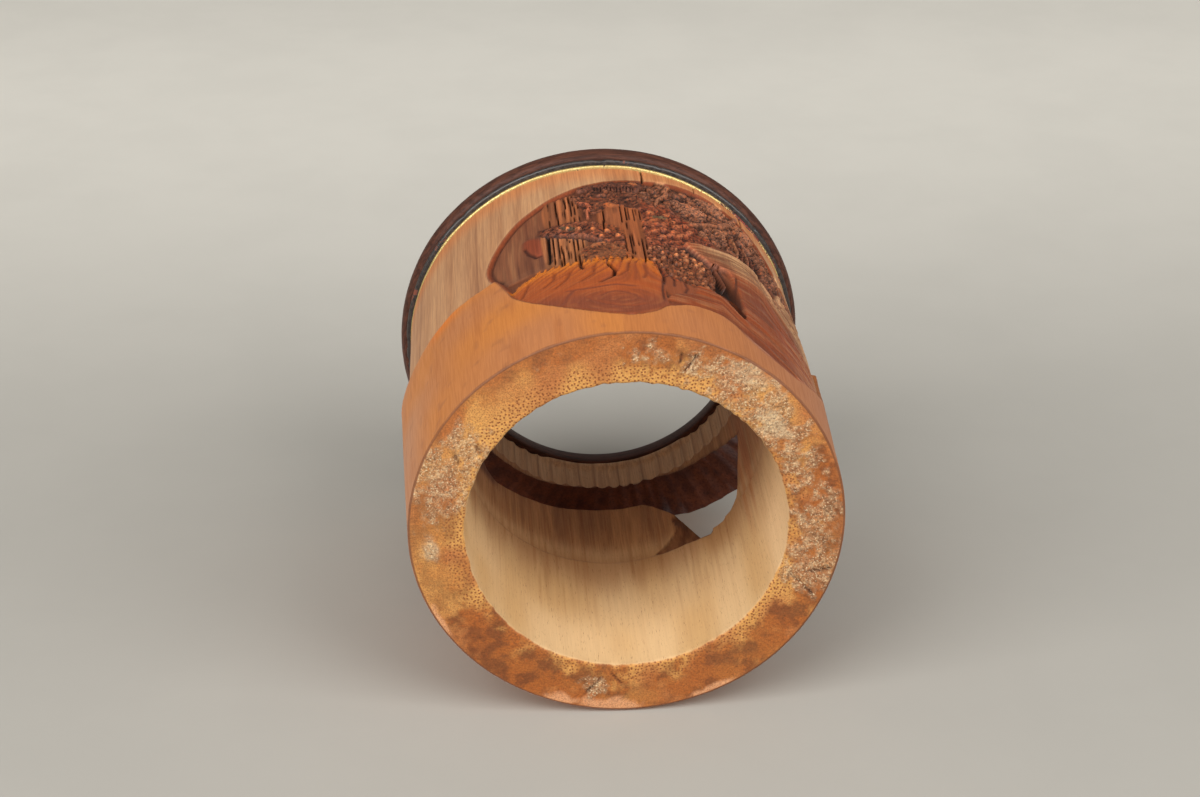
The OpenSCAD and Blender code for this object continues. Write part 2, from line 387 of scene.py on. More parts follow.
# Two stands of trunks, and the leafy shelf between them
trunks([(-18.5, 95), (-18.5, 80), (-14, 78), (-9, 77), (-7.6, 86), (-8.5, 98.5), (-14, 98)],
       (-16.9, -14.6, -12.8, -12.1, -10.6, -9.5, -8.2), 59.9, 1.3, tint(180, 114, 76))
trunks([(-19.4, 76), (-19.2, 53), (-17, 50.5), (-8, 50), (-7, 58), (-7.4, 66), (-12, 71)],
       (-17.4, -16.6, -15, -14.1, -12.7, -11.9, -10.8, -9.8, -8.2), 59.8, 1.5, tint(186, 124, 84))
score([(-17.9, 74), (-18.2, 53)], 0.8, 1.6, tint(54, 26, 16))
shelf = [(-20, 78.5), (-16, 79), (-9, 78), (-3, 75), (2.5, 72), (3.8, 61.5), (2, 58), (-3.3, 63),
         (-8.4, 67.5), (-14.3, 71.2), (-19.8, 75)]
# The dark undercut groove under the shelf is painted shade.
score([(-20, 75.5), (-14.3, 70.5), (-8.4, 66.6), (-3.3, 62.4), (2, 57)], 1.2, 1.6, tint(46, 22, 15))
leafy(shelf, 60.1, tint(98, 54, 38), tint(172, 104, 72), -1.0, 410, 0.9, 2.4, 0.8)
shape([(-14, 74.3), (-8.6, 71.6), (-8.8, 73.2), (-13.5, 75.8)], None, tint(108, 92, 74), 0.7)
for a, z, size in ((-9, 72, 1.0), (-5, 70.5, 0.9), (-1.2, 68.6, 1.0), (1.6, 65, 0.9), (-3, 65.2, 0.7),
                   (-12, 73.8, 0.7)):
    knob(a, z, size, size * 1.2, 60.3, 0.6, tint(204, 130, 86))
leafy([(-8.8, 58), (-8.8, 51), (-6, 49), (3.2, 49), (3.6, 57.5), (-2, 61), (-6.5, 60.5)], 59.9,
      tint(122, 74, 50), tint(178, 118, 82), -0.9, 420, 1.5, 3.2, 0.6)

# Middle: tall trunks under a clump of foliage, with a twisted twig
trunks([(-2.8, 86), (-2.6, 71), (3.2, 66), (3.4, 49), (9.6, 49), (10, 66), (10.3, 82), (8, 88), (2, 90)],
       (-1.2, 1.5, 3.6, 5.0, 5.7, 7.1, 8.0, 9.0), 59.9, 1.3, tint(180, 108, 66), 0.26, 0.003)
cut, mask = shape([(-0.9, 89), (-0.6, 78), (0.6, 72), (2.2, 72), (2.9, 80), (2.6, 89)], 60.05,
                  tint(170, 104, 68), 1.0, 0.8)
lay(cut, mask * ease(-0.1, 0.6, grain(A[cut], Z[cut], 0.8, 9, 24)) * 0.6, None, tint(112, 66, 44))
leafy([(-9, 98), (-8.6, 91), (-7, 86), (-3, 83), (-0.6, 86), (3, 89), (8, 87), (10.5, 89), (11, 98),
       (2, 100)], 59.9,
      tint(96, 56, 42), tint(160, 102, 74), -0.7, 430, 1.1, 3.0, 0.9)
knob(0.8, 88, 2.2, 1.6, 60.0, 0.6, tint(182, 110, 66))
limb([(-7.5, 91), (-5.4, 89.6), (-5.0, 87), (-5.9, 84.5), (-6.0, 80)], 0.75, 60.1, 0.6, tint(176, 100, 70))
band = [(-8, 101), (-2, 100), (4, 100.5), (10.5, 101), (11, 108), (4, 107), (-4, 104.5), (-8, 103)]
leafy(band, 60.4, tint(102, 62, 50), tint(138, 86, 66), -1.3, 440, 1.2, 5.0, 0.5)
for k, a in enumerate(np.arange(-3, 8.5, 0.95)):
    score([(a, 102.6), (a + 0.1, 100.2 - 0.5 * (k % 3))], 0.36, 0.6, tint(64, 36, 28))
knob(8.5, 105.2, 1.6, 1.3, 60.4, 0.4, tint(178, 112, 72))

# Right of the middle: broad-leaved clusters over crumbling rock
leafy([(10, 93), (9.6, 62), (14, 59), (20, 62), (21.4, 66.5), (26, 70), (31, 72), (30, 82), (26, 90),
       (16, 95)], 59.7,
      tint(116, 58, 40), tint(178, 106, 74), -1.05, 450, 1.5, 3.6, 1.2)
for a, z, r in scatter([(11, 86), (11, 66), (20, 68), (25, 76), (22, 86)], 4.2, 44):
    knob(a, z, 0.9 + 0.6 * r[0], 1.3 + 0.8 * r[1], 60.0, 0.6,
         mix(tint(156, 84, 54), tint(196, 122, 84), r[2]), -1.0 + r[0])
knob(14.5, 81.5, 3.0, 1.1, 60.3, 0.4, tint(118, 104, 82), 0.2)
crumbs = [(10.5, 60), (9.5, 46), (12, 40), (17, 37), (24, 38.5), (27.5, 43), (28.6, 50), (27, 56), (23, 61),
          (17, 63)]
leafy(crumbs, 59.3, tint(98, 58, 42), tint(164, 104, 74), 0.3, 460, 0.8, 1.2, 1.1)
for a, z, r in scatter(crumbs, 2.1, 45):
    knob(a, z, 0.4 + 0.4 * r[0], 0.5 + 0.5 * r[1], 59.4, 0.4 + 0.5 * r[2],
         mix(tint(120, 72, 52), tint(198, 134, 98), r[2] ** 2))
for a, z in ((23, 53.5), (24.2, 55), (25, 52.6), (22.6, 56.8), (24, 51), (20, 55), (17.5, 57)):
    knob(a, z, 0.7, 0.9, 59.7, 0.7, tint(214, 150, 112))
shape([(9.8, 48), (11, 38), (12, 30), (14, 27), (20, 29), (22, 35.5), (18, 38), (14, 42), (12, 46)],
      60.0, tint(158, 88, 54), 0.8)
for path in ([(11.4, 48), (12.6, 40), (12, 33)], [(13.6, 43), (15.2, 38), (14.8, 33)],
             [(18, 38.5), (18.6, 34), (17.4, 30)]):
    score(path, 0.7, 0.4, tint(112, 58, 38))

# The pines under the upper edge: crowded needles in arched masses, with pale branches
pines = [(10.5, 98), (12, 106.5), (21, 110.5), (31, 112), (42, 110.5), (52, 105.5), (61, 97), (64, 90),
         (60, 84), (55, 80), (50, 77), (46, 79), (40, 79), (33, 78), (28, 80), (24, 86), (18, 92), (12, 93)]
leafy(pines, 59.2, tint(78, 48, 38), tint(146, 98, 76), -0.9, 470, 0.85, 3.6, 1.3)
for a, z, r in scatter(pines, 4.4, 46):
    fan(a, z, 1.5 + 1.0 * r[0], 59.5, 0.5 + 0.4 * r[1],
        mix(tint(126, 82, 62), tint(156, 106, 82), r[2]), 11 + int(5 * r[1]), 0.9 * r[2] - 1.0)
limb([(19.3, 108.5), (17.8, 104.5), (18.3, 101.5), (16.6, 98.8), (15, 95.5), (14.2, 91)], 0.8, 60.2, 0.6,
     tint(166, 114, 90))
limb([(43.4, 112.5), (41.5, 107), (38.5, 101), (35, 95)], 0.85, 60.2, 0.6, tint(160, 108, 84), -0.3)
limb([(24.3, 84), (27, 86.5), (30.5, 90.5), (34, 93.5)], 0.75, 60.1, 0.6, tint(158, 106, 82))
for middle_a, foot_z, size in ((26, 90, 4.6), (34, 101, 4.4), (45, 98, 5.0), (38, 82, 4.6)):
    for lift in range(4):
        arch = [(middle_a + (size + lift) * math.sin(t) / ARC, foot_z + lift * 1.1 + (size + lift) * 0.8
                 * math.cos(t))
                for t in np.linspace(-1.3, 1.2, 7)]
        score(arch, 0.5, 0.4, tint(66, 40, 32))
        limb([(a, z + 0.6) for a, z in arch[1:6]], 0.3, 60.0, 0.4, tint(166, 116, 92), 0.2)

# The cave under the pines, painted dark as its shade, with stems standing in it
shape([(38, 84), (37, 88), (38, 93), (42, 96), (46.5, 94), (50, 90), (51, 84), (49, 79.5), (44, 79)], 57.9,
      tint(58, 32, 24), 0.8)
for a, wide, low, top, stain in ((39.2, 0.5, 82, 93, (126, 80, 60)), (41.2, 0.6, 79.5, 95, (166, 116, 90)),
                                 (43.2, 0.45, 80, 95, (118, 72, 54)), (45.4, 0.6, 79.5, 94, (140, 92, 70)),
                                 (47.6, 0.45, 80, 92, (104, 62, 46))):
    limb([(a - 0.8, low), (a + 0.5, (low + top) / 2), (a - 0.6, top)], wide, 58.4, 1.1, tint(*stain), 0.3)

# The rock slope on the right: long strands that sweep round the pot, over and under a pierced cleft
slope = [(33.5, 57), (35.4, 47), (35.8, 36), (35.4, 29), (33.6, 28.8), (31.5, 33.5), (28.8, 36.6), (22, 38),
         (20, 31), (13, 26), (12, 18), (18, 21), (25, 21.5), (30, 19), (34, 14.5), (39, 11.6), (45, 11.5),
         (51, 13.5), (58, 19.5), (66, 29), (73.5, 41), (78, 54), (79, 66), (75, 78), (69, 88), (64, 93),
         (60.5, 88), (57, 80), (54, 71), (50, 70), (47.9, 72), (44.6, 73.8), (40.5, 74.4), (35.6, 73),
         (30.3, 70.5), (24.7, 68.8), (20.6, 66.4), (21, 64), (24, 60.2), (27.5, 57.6), (30.8, 58.4)]
cut, mask = shape(slope, 60.5, None, 0.6)
CA, CZ = A[cut], Z[cut]
above_cleft = np.interp(CA, (20, 25, 30, 35, 40, 45, 50, 56, 66, 80),
                        (-8, -5, -3.5, -1.5, 0, 0, -5, -9, -8, -5))
below_cleft = np.interp(CA, (10, 21, 28, 32, 36, 45, 60, 80), (0, 0, 0.3, -5.5, -9.5, -12, -12, -4))
sweep = CZ - mix(below_cleft, above_cleft, ease(36, 58, CZ))
wander = sweep + 1.2 * grain(CA, CZ, 11, 9, 51)
ripple = noise(CA * ARC / 15, wander / 1.9, CA * 0, 52)
fine = noise(CA * ARC / 8, wander / 0.55, CA * 0, 53)
lift_up = 0.5 * ease(50, 62, CZ) * ease(50, 42, CA)
R[cut] += mask * (lift_up + 0.26 * ripple + 0.15 * fine)
pale = ease(54, 68, CZ + 0.5 * np.clip(CA - 46, 0, 30)) * ease(19, 30, CA)
warm = mix(tint(162, 80, 36), tint(190, 154, 128), (0.9 * pale)[..., None])
warm = dye(warm, tint(176, 98, 46), 0.7 * ease(0.0, 0.8, grain(CA, CZ, 8, 7, 56)) * (1 - pale))
warm = dye(warm, tint(134, 70, 42), 0.6 * ease(26, 16, CZ))
lay(cut, mask, None, warm)
# Painted shade darkens the low ripples and strands, and a painted highlight makes the raised fine strands
# paler.
lay(cut, mask * ease(0.05, -0.6, ripple) * 0.5, None, tint(124, 66, 42))
lay(cut, mask * ease(0.1, 0.7, fine) * (0.2 + 0.45 * pale), None, tint(224, 188, 156))
lay(cut, mask * ease(-0.1, -0.6, fine) * 0.4, None, tint(112, 64, 44))
lay(cut, mask * ease(0.0, 0.5, fine) * ease(50, 64, CA) * 0.5, None, tint(216, 178, 150))
score([(35.8, 58), (35.2, 50), (35.6, 40), (35.6, 31)], 0.6, 0.4, tint(96, 52, 34))
score([(20.6, 63.8), (24, 59.6), (27.6, 56.6), (31, 57.6)], 1.0, 1.0, tint(70, 38, 28))

# Slots among the stems right of the slab, painted dark as their shade, and hooked cuts over the far flank
for path, wide in (([(46.5, 72), (49, 66), (51.5, 60)], 1.0), ([(49.5, 76), (52, 70), (54, 64)], 1.2),
                   ([(52.5, 82), (54.5, 75), (56.5, 69)], 1.3), ([(55.5, 88), (57.5, 81), (59.5, 75)], 1.2),
                   ([(58.8, 92), (61, 86), (63, 80)], 1.0), ([(51.5, 76), (53.5, 73), (57, 71)], 0.7),
                   ([(48, 69), (51, 66), (55, 66)], 0.7)):
    score(path, wide, 1.5, tint(58, 32, 24))
leafy([(55, 92), (57, 84), (60, 78), (64, 78), (69, 82), (68, 89), (62, 96)], 60.0, tint(92, 56, 44),
      tint(190, 138, 114), -0.4, 480, 1.0, 4.0, 1.0)
for k in range(9):
    a, z = 60 + 1.6 * (k % 4), 44 + 5 * k
    score([(a - 5, z + 2.5), (a, z + 1), (a + 4, z - 2), (a + 6, z - 7)], 0.6, 0.4, tint(120, 74, 56))

# The cleft itself, deep and painted dark as its shade, with one lip hanging over it
shape([(28.6, 57), (29.2, 50), (28.6, 44.5), (28.6, 40), (30, 36.8), (32.4, 34.2), (34, 29.6), (35.4, 29.2),
       (35.2, 38), (35, 47), (33.4, 53), (31.2, 57)], 57.0, tint(46, 24, 16), 0.8)
limb([(29.6, 58), (31, 53), (32, 48.5)], 0.9, 58.2, 1.2, tint(120, 70, 48), 0.5)

# The grass hill: overlapping tongues with a toothed crest
HA, HZ = A[front], Z[front]
lean = np.interp(HA, (-30, -18, -6, 4, 12), (1.3, 1.0, 0.6, 0.1, -0.3))
along_hill = HA * ARC + lean * (48 - HZ) + 0.9 * grain(HA, HZ, 6, 6, 60)
swept = along_hill / 2.3 + 0.3 * noise(along_hill / 4, HZ / 30, HZ * 0, 62)
saw = 1 - swept % 1
crest = np.interp(HA, (-31, -29, -26, -22, -12, 8.5, 10.5, 12), (40, 44, 46.6, 48.2, 48.8, 48.8, 46.5, 40))
crest = crest + 2.4 * saw + 0.8 * grain(HA, HZ * 0, 0.8, 9, 63)
hill_mask = ease(0, 0.8, crest - HZ) * ease(12.2, 11.6, HA) * ease(0.05, 0.5, front_in)
high_part = ease(31, 44, HZ + 0.2 * HA)
round_over = 0.7 * ease(4.5, 0, crest - HZ)
pool = np.hypot((HA + 1) * ARC, (HZ - 21) * 1.5) + 0.8 * grain(HA, HZ, 6, 5, 64)
flow = mix(noise(pool / 0.9, np.arctan2(HZ - 21, HA + 1) * 1.6, HZ * 0, 61),
           noise(along_hill / 0.55, HZ / 9, HZ * 0, 65), ease(26, 34, HZ))
lay(front, hill_mask, 60.75 - 0.5 * ease(20, 46, HZ) - round_over + 0.08 * flow + 0.3 * high_part
    * (saw - 0.5), tint(186, 96, 42))
lay(front, hill_mask * ease(29, 19, HZ - 0.25 * np.clip(-HA, 0, 30)) * 0.85, None, tint(142, 78, 58))
lay(front, hill_mask * high_part * ease(0.25, 0.8, saw), None, tint(206, 112, 34))
lay(front, hill_mask * ease(7.5, 1.5, crest - HZ) * ease(0.1, 0.7, saw), None, tint(236, 142, 40))
lay(front, hill_mask * high_part * ease(0.14, 0.02, saw) * 0.5, None, tint(140, 70, 36))
lay(front, hill_mask * ease(0.1, 0.7, flow) * 0.4, None, tint(134, 70, 44))
lay(front, hill_mask * ease(-0.1, -0.7, flow) * 0.25, None, tint(204, 132, 84))
score([(-9.4, 51), (-9.8, 47.5), (-9.3, 43.5)], 0.9, 1.2, tint(100, 46, 26))
score([(-2.8, 48), (-1.9, 44.1), (-0.8, 41), (-1.3, 37), (-3.1, 35.2), (-5.4, 33)], 0.8, 1.5,
      tint(72, 32, 20))
for path in ([(-17, 45.5), (-17.6, 41), (-21, 37)], [(-6, 46), (-6.6, 40), (-11, 35)],
             [(3.4, 47), (2.6, 41), (-0.5, 36)], [(-24.5, 44), (-26, 39), (-27, 36)],
             [(7.4, 46), (7.8, 40), (6.4, 35)], [(-12.5, 44), (-14, 39), (-18, 34)]):
    score(path, 0.9, 0.35, tint(160, 82, 38))
for path in ([(-16.2, 22), (-14.6, 26), (-12.3, 30.5)],
             [(-9.4, 24), (-7.5, 20.8), (-4.7, 18.2), (-1, 16), (3, 15.8), (7.6, 18)],
             [(-5.7, 23.4), (-4, 25.2), (-1.8, 26), (1, 25.2), (3.4, 23), (6.4, 18.8)],
             [(-15, 30.6), (-8, 29.6), (-1, 30.6), (5, 29)]):
    score(path, 1.0, 0.2, tint(150, 80, 54))
score([(11.6, 47), (12.1, 38), (11, 28), (10.9, 20)], 0.7, 0.5, tint(104, 54, 36))

# The back: rock walls on both sides of the pierced window, pines above it, hills and rocks below
BACK = [(111, 74), (113, 56), (121, 44), (134, 41), (150, 39), (165, 37), (180, 37), (196, 41), (210, 49),
        (224, 61), (237, 74), (245, 88), (243, 98), (230, 104), (212, 107), (192, 109), (168, 109),
        (146, 107), (128, 102), (116, 92)]
BACK_FLOOR = 59.2
back = patch(104, 250, 30, 114)
back_line = curved(BACK)
BA, BZ = A[back], Z[back]
back_in = depth_in(back_line, BA, BZ)
lay(back, ease(0, 1.6, back_in + 0.1 * grain(BA, BZ, 1.2, 1.2, 70)), BACK_FLOOR)
lay(back, ease(-0.1, 0.4, back_in), None, EDGE_RED)
lay(back, ease(1.2, 2.4, back_in), None, tint(132, 78, 52))
rocks = [(112, 72), (115, 57), (122, 46), (134, 43), (150, 41), (165, 39), (180, 39), (195, 43), (208, 51),
         (221, 62), (233, 75), (226, 82), (205, 80), (188, 84), (170, 88), (158, 80), (150, 66), (140, 50),
         (130, 50), (122, 60), (117, 74)]
cut, mask = shape(rocks, 60.0, tint(164, 96, 60), 0.8, 0.6)
CA, CZ = A[cut], Z[cut]
folds = grain(CA + 3 * grain(CA, CZ, 14, 20, 71), CZ, 4.5, 13, 72)
R[cut] += mask * (0.75 * folds + 0.22 * grain(CA, CZ, 1.3, 9, 73))
# Painted shade darkens the low folds, and a painted highlight lightens the high ones.
lay(cut, mask * ease(0.0, -0.7, folds) * 0.8, None, tint(104, 54, 34))
lay(cut, mask * ease(0.1, 0.8, folds) * 0.7, None, tint(204, 142, 100))
hills = [(168, 86), (176, 90), (184, 88), (192, 84), (200, 86), (208, 84), (216, 86), (224, 85), (233, 78),
         (222, 70), (205, 66), (190, 68), (176, 74)]
cut, mask = shape(hills, 60.2, tint(178, 110, 68), 0.8)
R[cut] += mask * 0.12 * grain(A[cut] + 2 * grain(A[cut], Z[cut], 10, 14, 74), Z[cut], 1.0, 16, 75)
for base, swell, width, first, last in ((81, 2.6, 21, 170, 228), (74.5, 2.2, 17, 174, 224)):
    ridge = [(a, base + swell * math.cos((a - 178) * math.tau / width)) for a in range(first, last, 2)]
    score(ridge, 1.0, 0.6, tint(120, 62, 38))
    for a, z in ridge:
        score([(a, z - 0.8), (a + 0.9, z - 2.8), (a + 0.7, z - 4.8)], 0.55, 0.3, tint(136, 74, 46))
for grove, seed in (([(118, 92), (128, 99), (146, 104.5), (168, 107), (190, 107), (206, 105.5), (190, 104.6),
                      (166, 106), (150, 103.4), (134, 98), (122, 91)], 76),
                    ([(222, 100.5), (232, 101), (242, 94), (243, 88), (238, 82), (236, 90), (228, 96)], 77),
                    ([(196, 62), (206, 70), (220, 74), (226, 70), (214, 58), (203, 53)], 78),
                    ([(150, 62), (160, 74), (172, 78), (176, 70), (166, 58), (156, 54)], 79)):
    for a, z, r in scatter(grove, 2.7, seed):
        fan(a, z, 1.8 + 0.8 * r[0], 59.6, 0.8 + 0.4 * r[1], mix(tint(112, 70, 52), tint(150, 98, 72), r[2]),
            9 + int(4 * r[1]), 0.9 * r[2] - 0.45)
for path in ([(198, 44), (200, 54), (206, 62)], [(202, 47), (203, 56), (198, 64)],
             [(156, 42), (158, 52), (162, 60)], [(160, 43), (163, 53), (160, 62)]):
    limb(path, 1.1, 60.2, 0.8, tint(172, 108, 76), 0.45)
for a, z, r in scatter([(170, 42), (190, 44), (196, 54), (186, 64), (172, 62), (166, 52)], 2.1, 80):
    knob(a, z, 0.9 + 0.6 * r[0], 1.1 + 0.9 * r[1], 60.1, 0.4 + 0.5 * r[2],
         mix(tint(132, 76, 50), tint(190, 124, 86), r[2]))

# Old cracks that run down from the rings, the soft top edge, and the fine fibre of the whole wall
for a, low, wide, deep in ((11.8, 108.6, 0.42, 1.3), (28.5, 113, 0.3, 0.6), (46, 109.5, 0.42, 1.1)):
    score([(a - 0.15, low), (a + 0.1, (low + 119) / 2), (a, 122)], wide, deep, tint(60, 26, 14))
R -= 0.45 * ease(RINGS_AT - 0.9, RINGS_AT, Z)
R += 0.035 * grain(A, Z, 0.7, 7, 90)
lift = np.clip(EDGE_ROUND - Z, 0, EDGE_ROUND)
R -= EDGE_ROUND - np.sqrt(np.clip(EDGE_ROUND ** 2 - lift ** 2, 0, None))
# The rounded edge of the foot is painted dark as shade.
T = dye(T, tint(96, 58, 38), 0.75 * ease(0.75, 0.1, Z + 0.25 * grain(A, Z * 0, 3, 9, 89)))
R -= OVAL * np.cos(np.radians(2 * A))


def blurred(field, reach, turns):
    """The field averaged over the places near by, in steps of the grid."""
    for axis in (0, 1):
        for _ in range(turns):
            low = np.roll(field, reach, axis)
            high = np.roll(field, -reach, axis)
            if axis:
                low[:, :reach] = field[:, :1]
                high[:, -reach:] = field[:, -1:]
            field = (low + field + high) / 3
    return field


# A dark varnish lies over both scenes
VARNISH = tint(226, 208, 178)
VARNISH_DIMS = 0.86
T[front] = mix(T[front], T[front] * VARNISH * VARNISH_DIMS, ease(-0.1, 0.4, front_in)[..., None])
T[back] = mix(T[back], T[back] * VARNISH * VARNISH_DIMS, ease(-0.1, 0.4, back_in)[..., None])

# Painted shade darkens the hollows, and a painted highlight lightens the high edges
for reach, turns, dark in ((1, 3, 0.55), (3, 3, 0.45)):
    sunk = blurred(R, reach, turns) - R
    carved = 0.25 + 0.75 * bare
    T *= (1 - dark * carved * ease(0.03, 0.55, sunk))[..., None]
    T = mix(T, np.minimum(T * 1.3 + 0.012, 1), (carved * 0.7 * ease(0.04, 0.4, -sunk))[..., None])

# The bore: a node half-way up, and a ring of gouge cuts inside the mouth
LIP_UNDER_RIM = 0.4
inner_z = spaced((CULM_TOP - LIP_UNDER_RIM, 103, 0.55), (103, 62, 1.3), (62, 44, 0.6), (44, 1.5, 2.2),
                 (1.5, 0.3, 0.4))
IA, IZ = np.meshgrid(angles, inner_z, indexing="ij")
node_at = (54.5 + 3.5 * np.cos(np.radians(IA - 140)) - 1.5 * np.sin(np.radians(IA)) + 0.3
           * grain(IA, IZ * 0, 2, 9, 91))
bore = mix(BORE_LOW, BORE_HIGH, ease(-0.5, 0.6, IZ - node_at))
bore += 0.16 * grain(IA, IZ, 12, 50, 92) + 0.05 * grain(IA, IZ, 1.2, 40, 93)
FLUTE = 5.6
swing = IA / FLUTE + 0.5 * grain(IA, IZ * 0, 15, 9, 94)
bowl = 1 - (2 * (swing % 1) - 1) ** 2
flute_end = 104.6 + 1.6 * (1 - bowl) + 1.2 * grain(IA, IZ * 0, 11, 9, 95)
fluted = ease(-0.2, 1.5, IZ - flute_end)
bore += fluted * (0.25 + 0.7 * bowl)
glue_gap = np.maximum(ease(112, 120, IA) * ease(146, 138, IA), ease(200, 207, IA) * ease(232, 224, IA))
bore = mix(bore, BORE_HIGH - 0.3 + 0.2 * grain(IA, IZ * 0, 5, 9, 86), ease(117.5, 120.4, IZ) * (1 - glue_gap))
bore += 0.5 * ease(1.5, 0.3, IZ) * grain(IA, IZ * 0, 2.2, 9, 96)
BORE_PALE = tint(208, 174, 128)
near_tone = ease(-0.5, 0.7, grain(IA, IZ, 14, 22, 97))[..., None]
bore_stain_and_shade = mix(BORE_PALE, tint(196, 158, 108), near_tone)
far_streak = 0.5 + 0.5 * grain(IA, IZ, 2.2, 60, 98)
bore_stain_and_shade = mix(bore_stain_and_shade, mix(tint(188, 138, 88), tint(134, 88, 52), far_streak[..., None]),
                 ease(-2, 14, IZ - node_at)[..., None] * 0.9)
# Painted shade: a brown band below the node, where the edge of the foot shades the bore.
below = ease(34, 56, IZ + 5 * grain(IA, IZ, 3.5, 30, 100))
bore_stain_and_shade = dye(bore_stain_and_shade, tint(150, 100, 56), 0.6 * below * ease(0, -8, IZ - node_at - 8))
bore_stain_and_shade = dye(bore_stain_and_shade, tint(148, 98, 56), 0.5 * ease(0.1, 0.8, grain(IA, IZ, 0.9, 22, 88))
                 * ease(4, 60, IZ))
bore_stain_and_shade = dye(bore_stain_and_shade, tint(232, 196, 150), 0.6 * ease(52, 80, IA) * ease(125, 100, IA)
                 * ease(62, 24, IZ))
warm_side = ease(96, 106, IA) * ease(128, 116, IA) * ease(20, 60, IZ)
bore_stain_and_shade = dye(bore_stain_and_shade, tint(170, 104, 58), 0.6 * warm_side
                 * ease(-0.3, 0.6, grain(IA, IZ, 1.6, 50, 87)))
bore_stain_and_shade = dye(bore_stain_and_shade, tint(204, 170, 134), fluted * 0.85)
bore_stain_and_shade = dye(bore_stain_and_shade, tint(140, 104, 76), fluted * 0.6 * ease(0.45, 0.05, bowl))
# The step at the node is painted dark as its shade, on the side of the bore away from angle 70.
bore_stain_and_shade = mix(bore_stain_and_shade, tint(96, 52, 30), (0.75 * ease(0.9, 0.0, np.abs(IZ - node_at))
                                                * ease(-0.2, -0.9, np.cos(np.radians(IA - 70))))[..., None])

# The window through the back wall: the cave mouth on the right, and the sky above the hills
WINDOW_LOW = [(115.6, 87), (117.5, 81), (119.4, 76), (122.2, 65.3), (124, 61), (127.2, 58.6), (130.2, 56.8),
              (131.8, 54.6), (138, 55.6), (143.3, 56.4), (145.1, 61.3), (147, 66.3), (150.9, 74.2),
              (155.1, 80.5), (161.4, 87.7), (165.7, 90.8), (179.4, 91), (190.7, 90.1), (200, 88.4),
              (210, 87.4), (221, 84.6), (230.4, 82), (236, 84), (239.5, 92)]
WINDOW_TOP = [(115.6, 90), (120, 93), (125, 95), (131, 98.2), (137, 100.2), (148.5, 102.5), (156, 104.6),
              (161, 106), (181, 105.6), (190, 104.7), (205, 102.7), (219.5, 101.6), (232.7, 99.6),
              (239.5, 95.4)]
low_turn, low_height = np.array(WINDOW_LOW, float).T
top_turn, top_height = np.array(WINDOW_TOP, float).T
tongue = curved([(154.4, 77), (144, 76), (138, 64), (138, 54), (143.3, 54.8), (152, 57), (163, 58.4),
                 (160, 61.4), (156.4, 65), (153.6, 70)])
bevel = depth_in(tongue, IA, IZ)
bore += 4.5 * ease(0, 8, bevel) + 0.5 * ease(0, 0.8, bevel)
bore_stain_and_shade = dye(bore_stain_and_shade, tint(92, 52, 28), 0.92 * ease(-0.2, 0.4, bevel))
bore_stain_and_shade = dye(bore_stain_and_shade, tint(176, 122, 78), 0.35 * ease(0.2, 0.9, bevel)
                 * ease(-0.2, 0.6, grain(IA, IZ, 1.2, 6, 99)))
stained_end = ease(226, 233, IA) * ease(76, 82, IZ) * ease(104, 98, IZ)
bore_stain_and_shade = dye(bore_stain_and_shade, tint(92, 44, 26), 0.85 * stained_end)
lip = (ease(1.6, 0.2, np.abs(IZ - np.interp(IA, top_turn, top_height))) * ease(112, 116, IA)
       * ease(244, 240, IA))
bore_stain_and_shade = dye(bore_stain_and_shade, tint(88, 46, 26), 0.6 * lip)

# The foot: sawn end grain, uneven to the touch
foot_t = np.append(spaced((0.02, 1, 0.036)), 1.0)
foot_in, foot_out = bore[:, -1:], FOOT - EDGE_ROUND - OVAL * np.cos(np.radians(2 * angles))[:, None]
foot_r = mix(foot_in, foot_out, foot_t[None, :])
FT, FTA = np.meshgrid(foot_t, angles)


def over_foot(wide, seed):
    """Noise across the foot, with features so many millimetres wide."""
    turn = np.radians(FTA)
    return noise(foot_r * np.sin(turn) / wide, foot_r * np.cos(turn) / wide, FT * 0, seed)


def near_foot(a, t, half_a, half_t):
    """1 at a place on the foot, and 0 beyond half_a degrees or half_t of the wall's thickness away."""
    off = np.hypot(((FTA - a + 180) % 360 - 180) / half_a, (FT - t) / half_t)
    return ease(1, 0.35, off + 0.35 * over_foot(3.5, 101) + 0.2 * over_foot(1.2, 102))


GOLD = tint(206, 152, 84)
foot_stain = mix(GOLD, tint(176, 112, 62), ease(-0.6, 0.7, over_foot(7, 103) + 0.9 * (FT - 0.45))[..., None])
brown = np.zeros(FT.shape)
for a, t, half_a, half_t, strength in (
        (-22, 0.9, 32, 0.35, 0.6), (-52, 0.98, 24, 0.2, 0.5), (8, 0.6, 20, 0.6, 0.8),
                                       (24, 0.9, 20, 0.4, 0.45),
        (-108, 0.5, 16, 0.8, 0.5), (-132, 0.5, 24, 1.2, 0.95), (-150, 0.6, 22, 1.0, 0.95),
                                       (-168, 0.55, 16, 0.9, 0.9),
        (176, 0.75, 20, 0.5, 0.6), (154, 0.6, 26, 0.9, 0.85), (132, 0.7, 18, 0.6, 0.9),
                                       (116, 0.8, 14, 0.5, 0.9),
        (98, 0.6, 16, 0.8, 0.8), (84, 0.55, 12, 0.9, 0.9), (74, 0.65, 18, 0.7, 0.9), (60, 0.3, 16, 0.6, 0.7),
                                       (-84, 0.6, 18, 0.7, 0.55)):
    brown = np.maximum(brown, strength * near_foot(a, t, half_a, half_t))
foot_stain = mix(foot_stain, mix(tint(158, 90, 38), tint(118, 66, 32),
                                 ease(-0.4, 0.5, over_foot(4, 104) + 0.5 * over_foot(1.3, 113))[..., None]),
                 brown[..., None])
